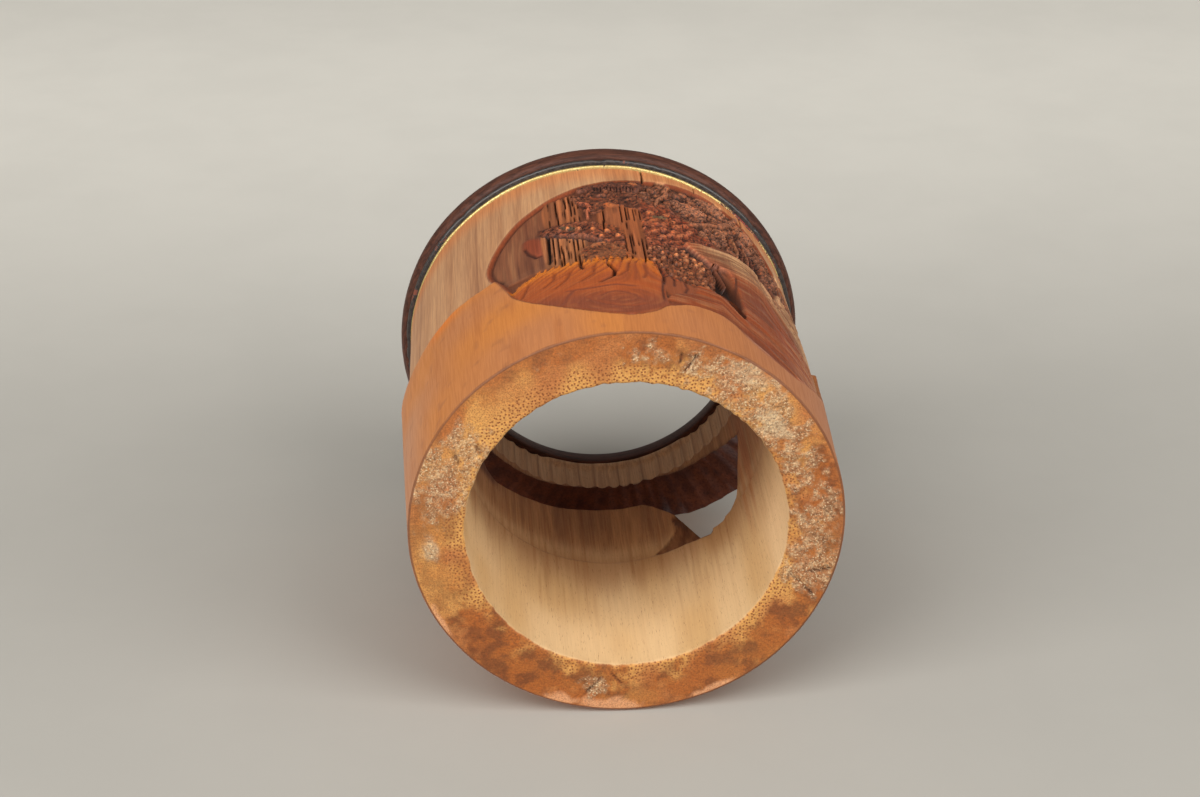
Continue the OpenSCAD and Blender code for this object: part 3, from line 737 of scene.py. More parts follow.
for a, t, half_a, half_t in ((-160, 0.95, 5, 0.2), (-175, 0.93, 11, 0.2), (154, 1.0, 9, 0.13),
                             (-118, 1.0, 10, 0.12)):
    foot_stain = mix(foot_stain, tint(220, 162, 118), (0.8 * near_foot(a, t, half_a, half_t))[..., None])
crust = np.zeros(FT.shape)
for a, t, half_a, half_t, strength in (
        (-70, 0.5, 18, 1.1, 1.0), (-58, 0.4, 11, 0.7, 0.9), (-95, 0.67, 5, 0.25, 0.9), (3, 0.6, 12, 0.4, 0.5),
        (22, 0.5, 14, 0.7, 0.6), (38, 0.5, 22, 0.9, 1.0), (53, 0.4, 15, 0.7, 1.0), (68, 0.4, 14, 0.6, 0.9),
        (86, 0.55, 13, 0.7, 0.9), (100, 0.5, 13, 0.9, 1.0), (109, 0.45, 8, 0.9, 1.0),
                                       (-170, 0.5, 6, 0.4, 0.9),
        (80, 0.6, 10, 0.4, 0.6), (-20, 0.8, 14, 0.3, 0.25)):
    crust = np.maximum(crust, strength * near_foot(a, t, half_a, half_t))
crumbs_here = ease(0.25, 0.7, crust * (0.8 + 0.6 * over_foot(2.0, 105)) + 0.2 * over_foot(0.9, 106))
foot_low = -0.13 * crumbs_here * (0.6 + 0.8 * np.abs(over_foot(0.8, 107))) + 0.10 * over_foot(5, 108) ** 2
foot_low += 0.12 * ease(0.3, 0.9, over_foot(0.9, 109))
foot_low += 0.25 * ease(0.04, 0.0, FT)
cracks = np.zeros(FT.shape)
for a, t0, t1, lean in ((17.5, 0.35, 0.75, 1.5), (15.5, 0.5, 0.7, -1), (109.5, 0.25, 0.85, 2.5),
                        (107.5, 0.5, 0.95, -2), (-171.5, 0.3, 0.75, 3), (-173.5, 0.1, 0.45, -5),
                        (-64, 0.4, 0.62, 3), (-58, 0.15, 0.3, 2)):
    off = np.abs((FTA - a - lean * (FT - t0) * 3 + 180) % 360 - 180) * ARC + 0.4 * over_foot(1.5, 110)
    cracks = np.maximum(cracks, ease(0.75, 0.1, off) * ease(t0 - 0.04, t0 + 0.03, FT)
                        * ease(t1 + 0.04, t1 - 0.03, FT))
foot_low += 0.5 * cracks
glue_tone = mix(tint(166, 124, 88), tint(210, 182, 142), ease(0.0, 0.7, over_foot(1.0, 111))[..., None])
glue_tone = dye(glue_tone, tint(122, 86, 60), 0.8 * ease(0.0, -0.6, over_foot(1.1, 112)))
foot_stain = mix(foot_stain, glue_tone, (0.65 * crumbs_here)[..., None])
pale_spot = np.maximum(near_foot(52, 0.35, 7, 0.3), 0.8 * near_foot(-95, 0.67, 4, 0.22))
pale_spot = np.maximum(pale_spot, 0.6 * near_foot(37, 0.8, 9, 0.3))
foot_stain = dye(foot_stain, tint(206, 186, 150), 0.6 * pale_spot)
foot_stain = dye(foot_stain, tint(70, 38, 24), 0.9 * cracks)

# The whole wall as one closed skin: up the outside, over the top, down the bore and across the foot
turn = np.radians(angles)[:, None]
top_r = np.broadcast_to([NECK, NECK, BORE_HIGH + 1.4], (len(angles), 3))
top_z = np.broadcast_to([RINGS_AT, CULM_TOP, CULM_TOP], (len(angles), 3))
top_stain = np.broadcast_to(tint(120, 76, 48), (len(angles), 3, 3))
radius = np.concatenate([R, top_r, bore, foot_r], 1)
height = np.concatenate([Z, top_z, IZ, foot_low], 1)
stain = np.concatenate([T, top_stain, bore_stain_and_shade, foot_stain], 1)
polish = np.concatenate([gloss, top_r * 0, 0.3 + 0.6 * ease(14, -2, IZ - node_at), foot_r * 0 + 0.4], 1)
end_grain = np.concatenate([R * 0, top_r * 0, bore * 0, (1 - 0.85 * crumbs_here) * (1 - 0.35 * brown)], 1)
crumbling = np.concatenate([ROUGH, top_r * 0, bore * 0, 0.3 + 0.35 * crumbs_here], 1)
where_inside = np.concatenate([R * 0, top_r * 0, bore * 0 + 1, foot_r * 0], 1)
points = np.stack([radius * np.sin(turn), -radius * np.cos(turn), height], -1) * MM


def grid_mesh(name, points):
    """A mesh of quads on a grid of points that closes on itself both ways."""
    across_n, along_n = points.shape[:2]
    i, j = np.meshgrid(np.arange(across_n), np.arange(along_n), indexing="ij")
    far_i, far_j = (i + 1) % across_n, (j + 1) % along_n
    quads = np.stack([i * along_n + j, far_i * along_n + j, far_i * along_n + far_j, i * along_n + far_j], -1)
    mesh = bpy.data.meshes.new(name)
    mesh.vertices.add(points.shape[0] * points.shape[1])
    mesh.vertices.foreach_set("co", points.reshape(-1))
    mesh.loops.add(quads.size)
    mesh.loops.foreach_set("vertex_index", quads.reshape(-1))
    mesh.polygons.add(quads.size // 4)
    mesh.polygons.foreach_set("loop_start", np.arange(0, quads.size, 4))
    mesh.update(calc_edges=True)
    return mesh


def paint(mesh, **layers):
    """Gives each point of a mesh its colour, painted shade and highlight included, or another named value."""
    for name, values in layers.items():
        if values.shape[-1] == 3 and values.ndim == 3:
            full = np.concatenate([values, np.ones(values.shape[:2] + (1,))], -1)
            mesh.attributes.new(name, "FLOAT_COLOR", "POINT").data.foreach_set("color", full.reshape(-1))
        else:
            mesh.attributes.new(name, "FLOAT", "POINT").data.foreach_set("value",
                    values.reshape(-1).astype(float))


def piece(name, mesh):
    """Puts a mesh in the scene under its own name."""
    thing = bpy.data.objects.new(name, mesh)
    scene.collection.objects.link(thing)
    return thing


wall_mesh = grid_mesh("culm", points)
glue = np.concatenate([R * 0, top_r * 0, bore * 0, crumbs_here], 1)
paint(wall_mesh, stain=stain, glue=glue, crumbly=crumbling, polish=polish, end_grain=end_grain,
      inside=where_inside)


CUTTER_FROM, CUTTER_TO = 41, 67


def hole(name, turns, low, top, low_out, top_out):
    """A cutter that goes right through the wall, between a lower and an upper edge."""
    a = np.radians(turns)[:, None]
    depth = np.linspace(0, 1, 15)[None, :]
    r = CUTTER_FROM + (CUTTER_TO - CUTTER_FROM) * depth
    tool = 0.12 * noise(a * 9, depth * 4, a * 0, 122)
    under = mix(low[:, None], low_out[:, None], ease(0.1, 0.75, depth)) + tool
    over = mix(top[:, None], top_out[:, None], ease(0.1, 0.75, depth)) + tool
    r = np.concatenate([r, r[:, ::-1]], 1) + a * 0
    z = np.concatenate([under, over[:, ::-1]], 1)
    ring = np.stack([r * np.sin(a), -r * np.cos(a), z], -1) * MM
    count, per = ring.shape[:2]
    faces = [(k * per + n, (k + 1) * per + n, (k + 1) * per + (n + 1) % per, k * per + (n + 1) % per)
             for k in range(count - 1) for n in range(per)]
    for end in (0, (count - 1) * per):
        rungs = [(end + n, end + n + 1, end + per - 2 - n, end + per - 1 - n) for n in range(per // 2 - 1)]
        faces += [rung[::-1] if end else rung for rung in rungs]
    mesh = bpy.data.meshes.new(name)
    mesh.from_pydata(ring.reshape(-1, 3).tolist(), [], faces)
    mesh.materials.append(cut_face)
    return piece(name, mesh)


cut_face = bpy.data.materials.new("cut face stain and painted shade")
WINDOW_FIRST, WINDOW_LAST, WINDOW_STEP = 115.6, 239.6, 0.8
window_turns = np.arange(WINDOW_FIRST, WINDOW_LAST, WINDOW_STEP)
wobble = (0.25 * grain(window_turns, window_turns * 0, 2.0, 9, 120) + 0.5
          * grain(window_turns, window_turns * 0, 6, 9, 121))
low_edge = np.interp(window_turns, low_turn, low_height) + wobble * 0.6
scallop = (window_turns / FLUTE + 0.35 * grain(window_turns, window_turns * 0, 30, 9, 94)) % 1
top_edge = np.interp(window_turns, top_turn, top_height) + 0.45 * (1 - (2 * scallop - 1) ** 2)
top_out = top_edge - 5.2 * ease(172, 150, window_turns) * ease(115, 122, window_turns)
window_cutter = hole("window_cutter", window_turns, low_edge, top_edge, low_edge - 0.6, top_out)
GAP = [(26.8, 40.6, 41.0), (28, 40.0, 43.0), (29.5, 39.2, 44.6), (31, 37.6, 46), (32, 35.8, 47),
       (33, 32.4, 47.2), (33.8, 30.2, 46.8), (34.6, 29.6, 46), (35.2, 29.8, 43), (35.7, 30.4, 37),
       (36, 31.4, 32.4)]
gap_turn, gap_low, gap_top = np.array(GAP).T
gap_cutter = hole("gap_cutter", gap_turn, gap_low, gap_top, gap_low, gap_top)

bamboo_skin = bpy.data.materials.new("stained bamboo with painted light")
wall_mesh.materials.append(bamboo_skin)
bamboo = piece("bamboo_body_carved", wall_mesh)
for cutter in (window_cutter, gap_cutter):
    saw = bamboo.modifiers.new(cutter.name, "BOOLEAN")
    saw.object = cutter
    saw.operation = "DIFFERENCE"
    saw.solver = "MANIFOLD"
    saw.material_mode = "TRANSFER"
cut_mesh = bpy.data.meshes.new_from_object(bamboo.evaluated_get(bpy.context.evaluated_depsgraph_get()))
bamboo.modifiers.clear()
bamboo.data = cut_mesh
bpy.data.meshes.remove(wall_mesh)
for cutter in (window_cutter, gap_cutter):
    bpy.data.objects.remove(cutter)
cut_mesh.polygons.foreach_set("use_smooth", np.ones(len(cut_mesh.polygons), bool))
WALL_CREASE = math.radians(62)
cut_mesh.set_sharp_from_angle(angle=WALL_CREASE)
kinds = np.zeros(len(cut_mesh.polygons), np.int32)
cut_mesh.polygons.foreach_get("material_index", kinds)
sides = np.zeros(len(cut_mesh.polygons), np.int32)
cut_mesh.polygons.foreach_get("loop_total", sides)
loop_edges = np.zeros(len(cut_mesh.loops), np.int32)
cut_mesh.loops.foreach_get("edge_index", loop_edges)
lowest = np.full(len(cut_mesh.edges), 9)
highest = np.zeros(len(cut_mesh.edges), int)
np.minimum.at(lowest, loop_edges, np.repeat(kinds, sides))
np.maximum.at(highest, loop_edges, np.repeat(kinds, sides))
sharp = np.zeros(len(cut_mesh.edges), bool)
cut_mesh.attributes["sharp_edge"].data.foreach_get("value", sharp)
cut_mesh.attributes["sharp_edge"].data.foreach_set("value", sharp | (highest > lowest))

# Points on the edge of the cut take their colour and other values from the wall beside them; there the colour
# is darkened a little, as painted shade along the cut
corner_point = np.zeros(len(cut_mesh.loops), np.int32)
cut_mesh.loops.foreach_get("vertex_index", corner_point)
on_wall = np.zeros(len(cut_mesh.vertices), bool)
on_cut = np.zeros(len(cut_mesh.vertices), bool)
on_wall[corner_point[np.repeat(kinds, sides) == 0]] = True
on_cut[corner_point[np.repeat(kinds, sides) == 1]] = True
ends_of = np.zeros((len(cut_mesh.edges), 2), np.int32)
cut_mesh.edges.foreach_get("vertices", ends_of.reshape(-1))
for name in ("stain", "glue", "crumbly", "polish", "end_grain", "inside"):
    data = cut_mesh.attributes[name].data
    key, size = ("color", 4) if name == "stain" else ("value", 1)
    values = np.zeros((len(cut_mesh.vertices), size), np.float32)
    data.foreach_get(key, values.reshape(-1))
    known = on_wall & ~on_cut
    for _ in range(4):
        total, count = np.zeros_like(values), np.zeros(len(known))
        for a, b in ((0, 1), (1, 0)):
            use = known[ends_of[:, a]] & ~known[ends_of[:, b]] & on_wall[ends_of[:, b]]
            np.add.at(total, ends_of[use, b], values[ends_of[use, a]])
            np.add.at(count, ends_of[use, b], 1)
        new = count > 0
        values[new] = total[new] / count[new, None] * (0.8 if name == "stain" else 1)
        known |= new
    data.foreach_set(key, values.reshape(-1))


def add(tree, kind, sockets=None, **settings):
    """Adds a shader node; a socket given a socket is linked to it, and any other value is set on it."""
    node = tree.nodes.new(kind)
    for name, value in settings.items():
        setattr(node, name, value)
    for name, value in (sockets or {}).items():
        if isinstance(value, bpy.types.NodeSocket):
            tree.links.new(value, node.inputs[name])
        else:
            node.inputs[name].default_value = value
    return node


def group(name, inputs, outputs):
    """A new node group with named inputs and outputs, given as (name, kind, first value)."""
    tree = bpy.data.node_groups.new(name, "ShaderNodeTree")
    for label, kind, value in inputs:
        socket = tree.interface.new_socket(label, in_out="INPUT", socket_type="NodeSocket" + kind)
        if value is not None:
            socket.default_value = value
    for label, kind in outputs:
        tree.interface.new_socket(label, in_out="OUTPUT", socket_type="NodeSocket" + kind)
    return tree, tree.nodes.new("NodeGroupInput").outputs, tree.nodes.new("NodeGroupOutput").inputs


def math_node(tree, operation, a, b=0.0):
    return add(tree, "ShaderNodeMath", {0: a, 1: b}, operation=operation).outputs[0]


def times(tree, a, b):
    """Two values multiplied."""
    return math_node(tree, "MULTIPLY", a, b)


def spread(tree, value, low, high, to_low=0.0, to_high=1.0):
    """Maps a value from one span to another, smoothly."""
    return add(tree, "ShaderNodeMapRange", {"Value": value, "From Min": low, "From Max": high,
                                            "To Min": to_low, "To Max": to_high},
               interpolation_type="SMOOTHSTEP").outputs[0]


def blend(tree, factor, a, b, how="MIX"):
    """Mixes two colours."""
    node = add(tree, "ShaderNodeMix", {0: factor}, data_type="RGBA", blend_type=how)
    for socket, value in ((node.inputs[6], a), (node.inputs[7], b)):
        if isinstance(value, bpy.types.NodeSocket):
            tree.links.new(value, socket)
        else:
            socket.default_value = (*value, 1)
    return node.outputs[2]


def cloud(tree, place, scale, detail, rough=0.5):
    """Soft noise over a place, from 0 to 1."""
    sockets = {"Vector": place, "Scale": scale, "Detail": detail, "Roughness": rough}
    return add(tree, "ShaderNodeTexNoise", sockets).outputs["Fac"]


def vector_math(tree, operation, a, b):
    """A maths node for vectors, worked out axis by axis."""
    return add(tree, "ShaderNodeVectorMath", {0: a, 1: b}, operation=operation).outputs[0]


def scaled(tree, place, scale):
    """A place with all three axes stretched alike."""
    return add(tree, "ShaderNodeVectorMath", {0: place, "Scale": scale}, operation="SCALE").outputs[0]


def raised(tree, surface, height, strength, reach):
    """Gives a surface the fine relief of a height, over a reach in millimetres."""
    bump = add(tree, "ShaderNodeBump", {"Height": height, "Strength": strength, "Distance": reach * MM})
    tree.links.new(bump.outputs[0], surface.inputs["Normal"])


# Bamboo fibre: streaks that run up the culm, of a given width and length in millimetres, and flecks
fibre, given, out = group("fibre", [("Place", "Vector", None), ("Width", "Float", 1.0),
                                    ("Length", "Float", 30.0)],
                          [("Streak", "Float"), ("Fleck", "Float")])
squeeze = add(fibre, "ShaderNodeCombineXYZ", {"X": given["Width"], "Y": given["Width"], "Z": given["Length"]})
steps = vector_math(fibre, "DIVIDE", given["Place"], squeeze.outputs[0])
fibre.links.new(cloud(fibre, steps, 1.0, 3.0, 0.6), out["Streak"])
dashes = vector_math(fibre, "MULTIPLY", steps, (3.1, 3.1, 6.0))
fibre.links.new(spread(fibre, cloud(fibre, dashes, 1.0, 1.0), 0.66, 0.74), out["Fleck"])

# Small tool marks and broken grain, with low and high places
crumble, given, out = group("crumble", [("Place", "Vector", None), ("Size", "Float", 1.0)],
                            [("Low", "Float"), ("High", "Float"), ("Height", "Float")])
closer = scaled(crumble, given["Place"], math_node(crumble, "DIVIDE", 1.0, given["Size"]))
broken = cloud(crumble, closer, 1.0, 4.0, 0.68)
crumble.links.new(spread(crumble, broken, 0.52, 0.34), out["Low"])
crumble.links.new(spread(crumble, broken, 0.52, 0.68), out["High"])
crumble.links.new(broken, out["Height"])

# End grain: the dark ends of the fibre bundles, crowded towards the skin
ends, given, out = group("end grain", [("Place", "Vector", None)], [("Dots", "Float"), ("Cells", "Float")])
split = add(ends, "ShaderNodeSeparateXYZ", {0: given["Place"]})
flat = add(ends, "ShaderNodeCombineXYZ", {"X": split.outputs[0], "Y": split.outputs[1], "Z": 0.0}).outputs[0]
out_from_axis = add(ends, "ShaderNodeVectorMath", {0: flat}, operation="LENGTH").outputs["Value"]
drift = cloud(ends, flat, 0.5, 1.0)
dots = []
for spacing, size in ((1.05, 0.46), (0.68, 0.44)):
    cells = add(ends, "ShaderNodeTexVoronoi", {"Vector": flat, "Scale": 1 / spacing, "Randomness": 0.75},
                voronoi_dimensions="2D")
    dots.append(spread(ends, cells.outputs["Distance"], size * 0.72, size * 0.34))
crowd = spread(ends, math_node(ends, "ADD", out_from_axis, times(ends, drift, 3.0)), 51.5, 53.0)
both = add(ends, "ShaderNodeMix", {0: crowd, 2: dots[0], 3: times(ends, dots[1], 0.5)}).outputs[0]
ends.links.new(both, out["Dots"])
ends.links.new(drift, out["Cells"])


def place_in_mm(tree):
    """Where a point is on the pot, in millimetres."""
    here = add(tree, "ShaderNodeTexCoord").outputs["Object"]
    return scaled(tree, here, 1 / MM)


def material(name):
    """A material of that name, new or already on a piece, with its Principled BSDF."""
    made = bpy.data.materials.get(name) or bpy.data.materials.new(name)
    made.use_nodes = True
    return made, made.node_tree, made.node_tree.nodes["Principled BSDF"]


def used(tree, tool, **sockets):
    """Places a node group in a material."""
    node = tree.nodes.new("ShaderNodeGroup")
    node.node_tree = tool
    for name, value in sockets.items():
        if isinstance(value, bpy.types.NodeSocket):
            tree.links.new(value, node.inputs[name])
        else:
            node.inputs[name].default_value = value
    return node.outputs


bamboo_skin, tree, surface = material("stained bamboo with painted light")
place = place_in_mm(tree)


def painted(name):
    return add(tree, "ShaderNodeAttribute", attribute_name=name).outputs["Fac"]


colour = add(tree, "ShaderNodeAttribute", attribute_name="stain").outputs["Color"]
fine = used(tree, fibre, Place=place, Width=0.55, Length=14.0)
coarse = used(tree, fibre, Place=place, Width=2.2, Length=60.0)
on_end = painted("end_grain")
shine = painted("polish")
crumbly = painted("crumbly")
dull = add(tree, "ShaderNodeMapRange", {"Value": shine, "To Min": 1.0, "To Max": 0.1}).outputs[0]


def streaked(streak, low, high, amount):
    return times(tree, dull, spread(tree, streak, low, high, 0.0, amount))


colour = blend(tree, streaked(fine["Streak"], 0.35, 0.65, 0.30), colour, tint(150, 96, 62), "MULTIPLY")
colour = blend(tree, streaked(fine["Streak"], 0.62, 0.30, 0.22), colour, tint(255, 214, 160), "SOFT_LIGHT")
colour = blend(tree, streaked(coarse["Streak"], 0.40, 0.70, 0.20), colour, tint(170, 116, 80), "MULTIPLY")
fleck_amount = times(tree, fine["Fleck"], times(tree, painted("inside"), 0.6))
colour = blend(tree, fleck_amount, colour, tint(110, 70, 36))
bits = used(tree, crumble, Place=place, Size=0.8)
colour = blend(tree, times(tree, bits["Low"], crumbly), colour, tint(92, 56, 42), "MULTIPLY")
colour = blend(tree, times(tree, bits["High"], crumbly), colour, tint(255, 196, 150), "SOFT_LIGHT")
grit = used(tree, crumble, Place=place, Size=0.55)
glued = painted("glue")
colour = blend(tree, times(tree, grit["High"], times(tree, glued, 0.85)), colour,
               tint(226, 200, 158))
colour = blend(tree, times(tree, grit["Low"], times(tree, glued, 0.6)), colour,
               tint(112, 74, 46))
grain_ends = used(tree, ends, Place=place)
colour = blend(tree, times(tree, grain_ends["Dots"], on_end), colour, tint(128, 72, 36))
tree.links.new(colour, surface.inputs["Base Color"])
rough = add(tree, "ShaderNodeMapRange", {"Value": math_node(tree, "SUBTRACT", shine, painted("inside")),
                                         "To Min": 0.75, "To Max": 0.46}).outputs[0]
rough = math_node(tree, "ADD", rough, spread(tree, fine["Streak"], 0.3, 0.7, -0.05, 0.07))
tree.links.new(rough, surface.inputs["Roughness"])
surface.inputs["Specular IOR Level"].default_value = 0.32
relief = math_node(tree, "SUBTRACT", math_node(tree, "ADD", times(tree, fine["Streak"], 0.6),
                                               times(tree, times(tree, crumbly, 2.0), bits["Height"])),
                   times(tree, grain_ends["Dots"], times(tree, on_end, 0.9)))
raised(tree, surface, relief, 0.35, 0.2)

# The cut through the wall shows its fibres end on, dyed dark red and darkened further as painted shade
cut_face, tree, surface = material("cut face stain and painted shade")
place = place_in_mm(tree)
fine = used(tree, fibre, Place=place, Width=0.7, Length=5.0)
coarse = used(tree, fibre, Place=place, Width=3.5, Length=9.0)
colour = blend(tree, spread(tree, coarse["Streak"], 0.3, 0.7), tint(78, 32, 13), tint(112, 54, 24))
colour = blend(tree, spread(tree, fine["Streak"], 0.45, 0.75, 0.0, 0.6), colour, tint(44, 18, 10))
tree.links.new(colour, surface.inputs["Base Color"])
tree.links.new(spread(tree, fine["Streak"], 0.3, 0.7, 0.5, 0.7), surface.inputs["Roughness"])
raised(tree, surface, fine["Streak"], 0.4, 0.3)
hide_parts("bamboo_body")
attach(bamboo, "root")


# ---- The gilt string ----------------------------------------------------------------------------
# A thin strip of wood or hide, lacquered red and gilded, that covers the edge of the ground.
# It is glued into the corner under the bead; the gilding is worn through to the red in places.
RING_CREASE = math.radians(50)


def turned(name, profile, gap_degrees, wear):
    """A ring turned round the axis from a closed profile of radius and height, worn by a rule."""
    turns = np.arange(0, 360, gap_degrees)
    r, z = np.array(profile, float).T
    RA, RR = np.meshgrid(turns, r, indexing="ij")
    RZ = np.broadcast_to(z, RR.shape)
    RR, RZ = wear(RA, RR, RZ)
    t = np.radians(RA)
    mesh = grid_mesh(name, np.stack([RR * np.sin(t), -RR * np.cos(t), RZ], -1) * MM)
    mesh.polygons.foreach_set("use_smooth", np.ones(len(mesh.polygons), bool))
    mesh.set_sharp_from_angle(angle=RING_CREASE)
    return piece(name, mesh), RA


def outline_of(low, high, inner, outer, bulge, steps):
    """A ring's profile: flat inside, top and bottom, and bulging outside."""
    z = np.linspace(0, 1, steps)
    face = [(outer - bulge * (1 - math.sqrt(1 - (2 * t - 1) ** 2 * 0.98)), low + (high - low)
             * (0.02 + 0.96 * t)) for t in z]
    return [(inner, low)] + face + [(inner, high)]


string_low, string_high = (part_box("gilt_string")[k].z / MM for k in (0, 1))
STRING_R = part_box("gilt_string")[1].x / MM


def string_wear(a, r, z):
    outer = r > NECK + 0.5
    return r + outer * (0.07 * grain(a, z, 1.6, 0.8, 130) + 0.10 * grain(a, z, 9, 3, 131)), z


string, string_turn = turned("gilt_string_worn", outline_of(string_low, string_high, NECK, STRING_R, 0.45, 7),
                             0.6, string_wear)
bare_stretch = (ease(36, 44, string_turn) * ease(66, 58, string_turn) + 0.45 * ease(58, 66, string_turn)
                * ease(100, 88, string_turn))
paint(string.data, rubbed=bare_stretch)
gilding, tree, surface = material("worn gilding")
place = place_in_mm(tree)
patches = cloud(tree, place, 0.16, 2.0, 0.5)
chips = cloud(tree, place, 1.6, 3.0, 0.6)
rubbed = add(tree, "ShaderNodeAttribute", attribute_name="rubbed").outputs["Fac"]
patches = math_node(tree, "ADD", patches, times(tree, rubbed, 0.3))
gone = spread(tree, math_node(tree, "ADD", patches, times(tree, chips, 0.55)), 0.96, 1.04)
under = blend(tree, spread(tree, chips, 0.4, 0.6), tint(140, 44, 26), tint(72, 44, 30))
gold = blend(tree, spread(tree, chips, 0.35, 0.6), tint(224, 198, 132), tint(196, 168, 104))
tree.links.new(blend(tree, gone, gold, under), surface.inputs["Base Color"])
tree.links.new(spread(tree, gone, 0.0, 1.0, 0.75, 0.0), surface.inputs["Metallic"])
tree.links.new(spread(tree, chips, 0.3, 0.7, 0.32, 0.5), surface.inputs["Roughness"])
raised(tree, surface, math_node(tree, "SUBTRACT", chips, gone), 0.4, 0.2)
string.data.materials.append(gilding)
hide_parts("gilt_string")
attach(string, "root")

# ---- The lacquer bead ---------------------------------------------------------------------------
# A half-round bead of black lacquer over wood, between the string and the rim. It is glossy where
# whole; chips have gone down to a reddish ground, and the gloss is scuffed grey along its crown.
bead_low, bead_high = (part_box("lacquer_bead")[k].z / MM for k in (0, 1))
BEAD_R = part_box("lacquer_bead")[1].x / MM


def bead_wear(a, r, z):
    outer = r > NECK + 0.5
    chip = ease(0.42, 0.6, grain(a, z, 2.6, 1.6, 132))
    return r + outer * (0.08 * grain(a, z, 7, 5, 133) - 0.28 * chip), z


bead, _ = turned("lacquer_bead_worn", outline_of(bead_low, bead_high, NECK, BEAD_R, 0.8, 9), 0.6, bead_wear)
lacquer, tree, surface = material("black lacquer")
place = place_in_mm(tree)
scuffs = cloud(tree, place, 0.9, 4.0, 0.65)
patches = cloud(tree, place, 0.12, 2.0)
worn = spread(tree, math_node(tree, "ADD", times(tree, scuffs, 0.6), patches), 0.95, 1.06)
dark = blend(tree, spread(tree, scuffs, 0.35, 0.65), tint(30, 25, 24), tint(58, 48, 42))
tree.links.new(blend(tree, worn, dark, tint(118, 58, 36)), surface.inputs["Base Color"])
tree.links.new(spread(tree, scuffs, 0.35, 0.7, 0.3, 0.6), surface.inputs["Roughness"])
tree.links.new(spread(tree, worn, 0.0, 1.0, 0.15, 0.0), surface.inputs["Coat Weight"])
raised(tree, surface, math_node(tree, "SUBTRACT", times(tree, scuffs, 0.5), worn), 0.35, 0.2)
bead.data.materials.append(lacquer)
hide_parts("lacquer_bead")
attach(bead, "root")

# ---- The hardwood rim ---------------------------------------------------------------------------
# A turned ring of dark red-brown hardwood, polished, with a full round outer edge. It is glued
# down on the upper end of the bamboo and the bead.
rim_low, rim_high = (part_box("rim_ring")[k].z / MM for k in (0, 1))
RIM_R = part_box("rim_ring")[1].x / MM
RIM_BORE = 45.0
RIM_ROUND = (rim_high - rim_low) / 2
rim_profile = [(RIM_BORE + 1.2, rim_low), (52, rim_low), (58.6, rim_low)]
for t in np.radians(np.arange(-78, 79, 12)):
    rim_profile.append((RIM_R - RIM_ROUND * 0.8 * (1 - math.cos(t)), rim_low + RIM_ROUND * (1 + math.sin(t))))
rim_profile += [(57.5, rim_high), (52, rim_high - 0.05), (47, rim_high), (RIM_BORE + 0.9, rim_high),
                (RIM_BORE + 0.25, rim_high - 0.25), (RIM_BORE, rim_high - 0.9), (RIM_BORE, rim_low + 1.6),
                (RIM_BORE + 0.3, rim_low + 0.5)]


def rim_wear(a, r, z):
    outer = ease(58, 62, r)
    return r + outer * (0.10 * grain(a, z, 18, 8, 134) + 0.03 * grain(a, z, 3, 3, 135)), z + 0.05 * grain(a,
            z, 20, 9, 136)


rim, _ = turned("rim_ring_polished", rim_profile, 1.0, rim_wear)
hardwood, tree, surface = material("polished hardwood")
place = place_in_mm(tree)
veins = cloud(tree, vector_math(tree, "MULTIPLY", place, (0.05, 0.4, 1.6)), 1.0, 5.0, 0.6)
pores = cloud(tree, vector_math(tree, "MULTIPLY", place, (0.35, 1.6, 5.0)), 1.0, 2.0)
wood = blend(tree, spread(tree, veins, 0.35, 0.65), tint(60, 36, 28), tint(88, 53, 40))
wood = blend(tree, spread(tree, pores, 0.58, 0.70, 0.0, 0.6), wood, tint(30, 17, 13))
tree.links.new(wood, surface.inputs["Base Color"])
tree.links.new(spread(tree, pores, 0.4, 0.7, 0.42, 0.56), surface.inputs["Roughness"])
surface.inputs["Specular IOR Level"].default_value = 0.14
raised(tree, surface, pores, 0.2, 0.2)
rim.data.materials.append(hardwood)
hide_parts("rim_ring")
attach(rim, "root")

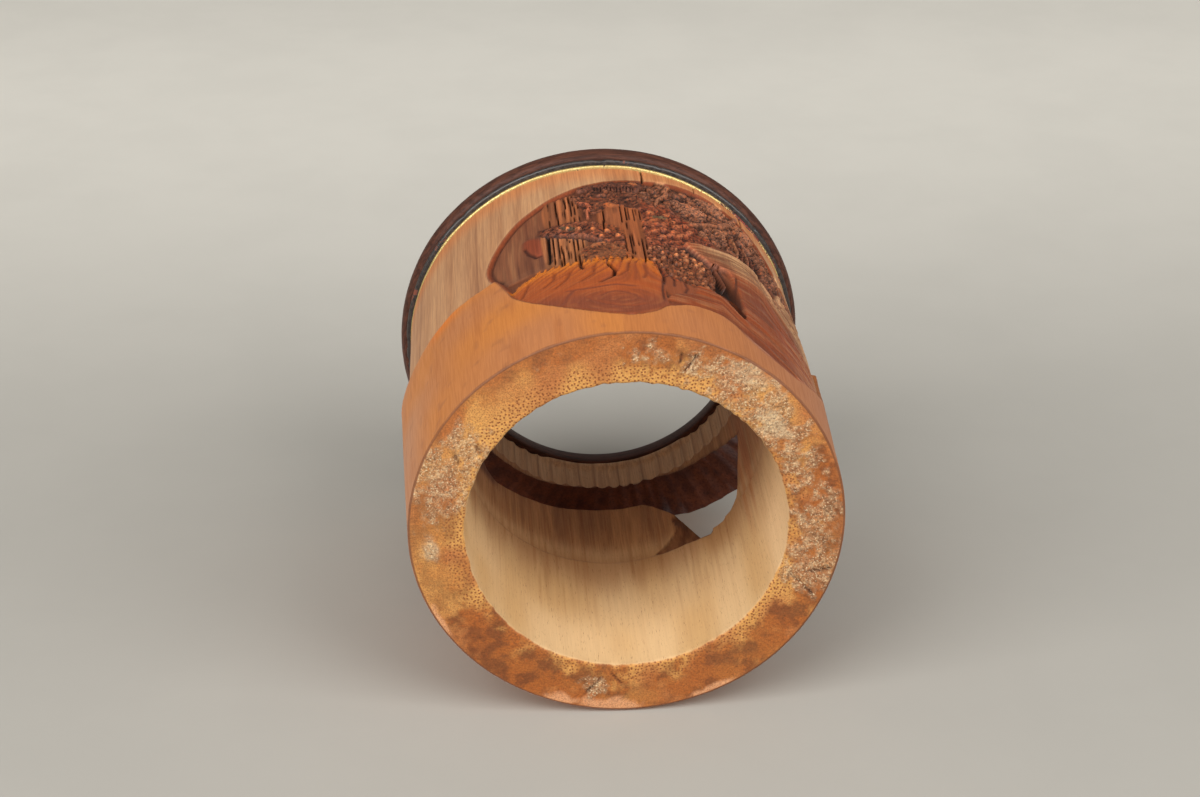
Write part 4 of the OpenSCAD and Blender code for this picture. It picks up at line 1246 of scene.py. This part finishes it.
# ---- The table ----------------------------------------------------------------------------------
# The pot lies on a pale table, touching it with its rim and the upper edge of its skin. The table
# is seen from one side only, so that the other side of the pot can be looked at through it.
REST_LOW = Vector((0, 61.4, 33)) * MM
REST_HIGH = Vector((0, 63.55, 124.75)) * MM
slope_up = (REST_HIGH - REST_LOW).normalized()
TABLE = 3.0
corners = [REST_LOW + slope_up * v + Vector((u, 0, 0)) for u, v in
           ((-TABLE, -TABLE), (TABLE, -TABLE), (TABLE, TABLE), (-TABLE, TABLE))]
table_mesh = bpy.data.meshes.new("table")
table_mesh.from_pydata(corners, [], [(0, 1, 2, 3)])
table = piece("table", table_mesh)
table.visible_shadow = False
paper, tree, surface = material("pale paper")
surface.inputs["Roughness"].default_value = 0.9
surface.inputs["Specular IOR Level"].default_value = 0.1
place = place_in_mm(tree)
mottle = cloud(tree, place, 0.02, 6.0, 0.6)
along_table = add(tree, "ShaderNodeSeparateXYZ", {0: place}).outputs[2]
# The table is painted brighter with distance from the pot, as painted light.
shade = blend(tree, spread(tree, along_table, 60.0, 640.0), tint(163, 159, 151), tint(224, 219, 208))
shade = blend(tree, spread(tree, mottle, 0.3, 0.7, 0.0, 0.05), shade, tint(120, 118, 112))
tree.links.new(shade, surface.inputs["Base Color"])
clear = add(tree, "ShaderNodeBsdfTransparent")
from_below = times(tree, add(tree, "ShaderNodeNewGeometry").outputs["Backfacing"],
                       add(tree, "ShaderNodeLightPath").outputs["Is Camera Ray"])
either = add(tree, "ShaderNodeMixShader", {0: from_below, 1: surface.outputs[0], 2: clear.outputs[0]})
tree.links.new(either.outputs[0], tree.nodes["Material Output"].inputs["Surface"])
table_mesh.materials.append(paper)

# ---- The lights ---------------------------------------------------------------------------------
# Two wide soft boxes stand left and right above the table, one hangs behind the lens, and a last
# one behind the table lights only what is looked at from there.
MIDDLE = Vector((0, 0, 62)) * MM


def soft_box(name, where, size, watts):
    """A wide soft light that hangs off the middle of the pot and points at it."""
    data = bpy.data.lights.new(name, "AREA")
    data.shape = "RECTANGLE"
    data.size, data.size_y = size
    data.energy = watts
    thing = bpy.data.objects.new(name, data)
    scene.collection.objects.link(thing)
    thing.location = MIDDLE + Vector(where)
    thing.rotation_euler = (-Vector(where)).to_track_quat("-Z", "Y").to_euler()


soft_box("left box", (-0.95, -0.88, -0.88), (1.3, 1.0), 21.5)
soft_box("right box", (0.95, -0.88, -0.88), (1.3, 1.0), 18.8)
soft_box("high box", (0, -1.4, -0.72), (1.3, 0.9), 8)
soft_box("back box", (-0.5, 1.3, 0.5), (1.0, 1.0), 16)
world = bpy.data.worlds.new("room")
world.use_nodes = True
world.node_tree.nodes["Background"].inputs["Color"].default_value = (0.80, 0.80, 0.78, 1)
world.node_tree.nodes["Background"].inputs["Strength"].default_value = 0.36
scene.world = world
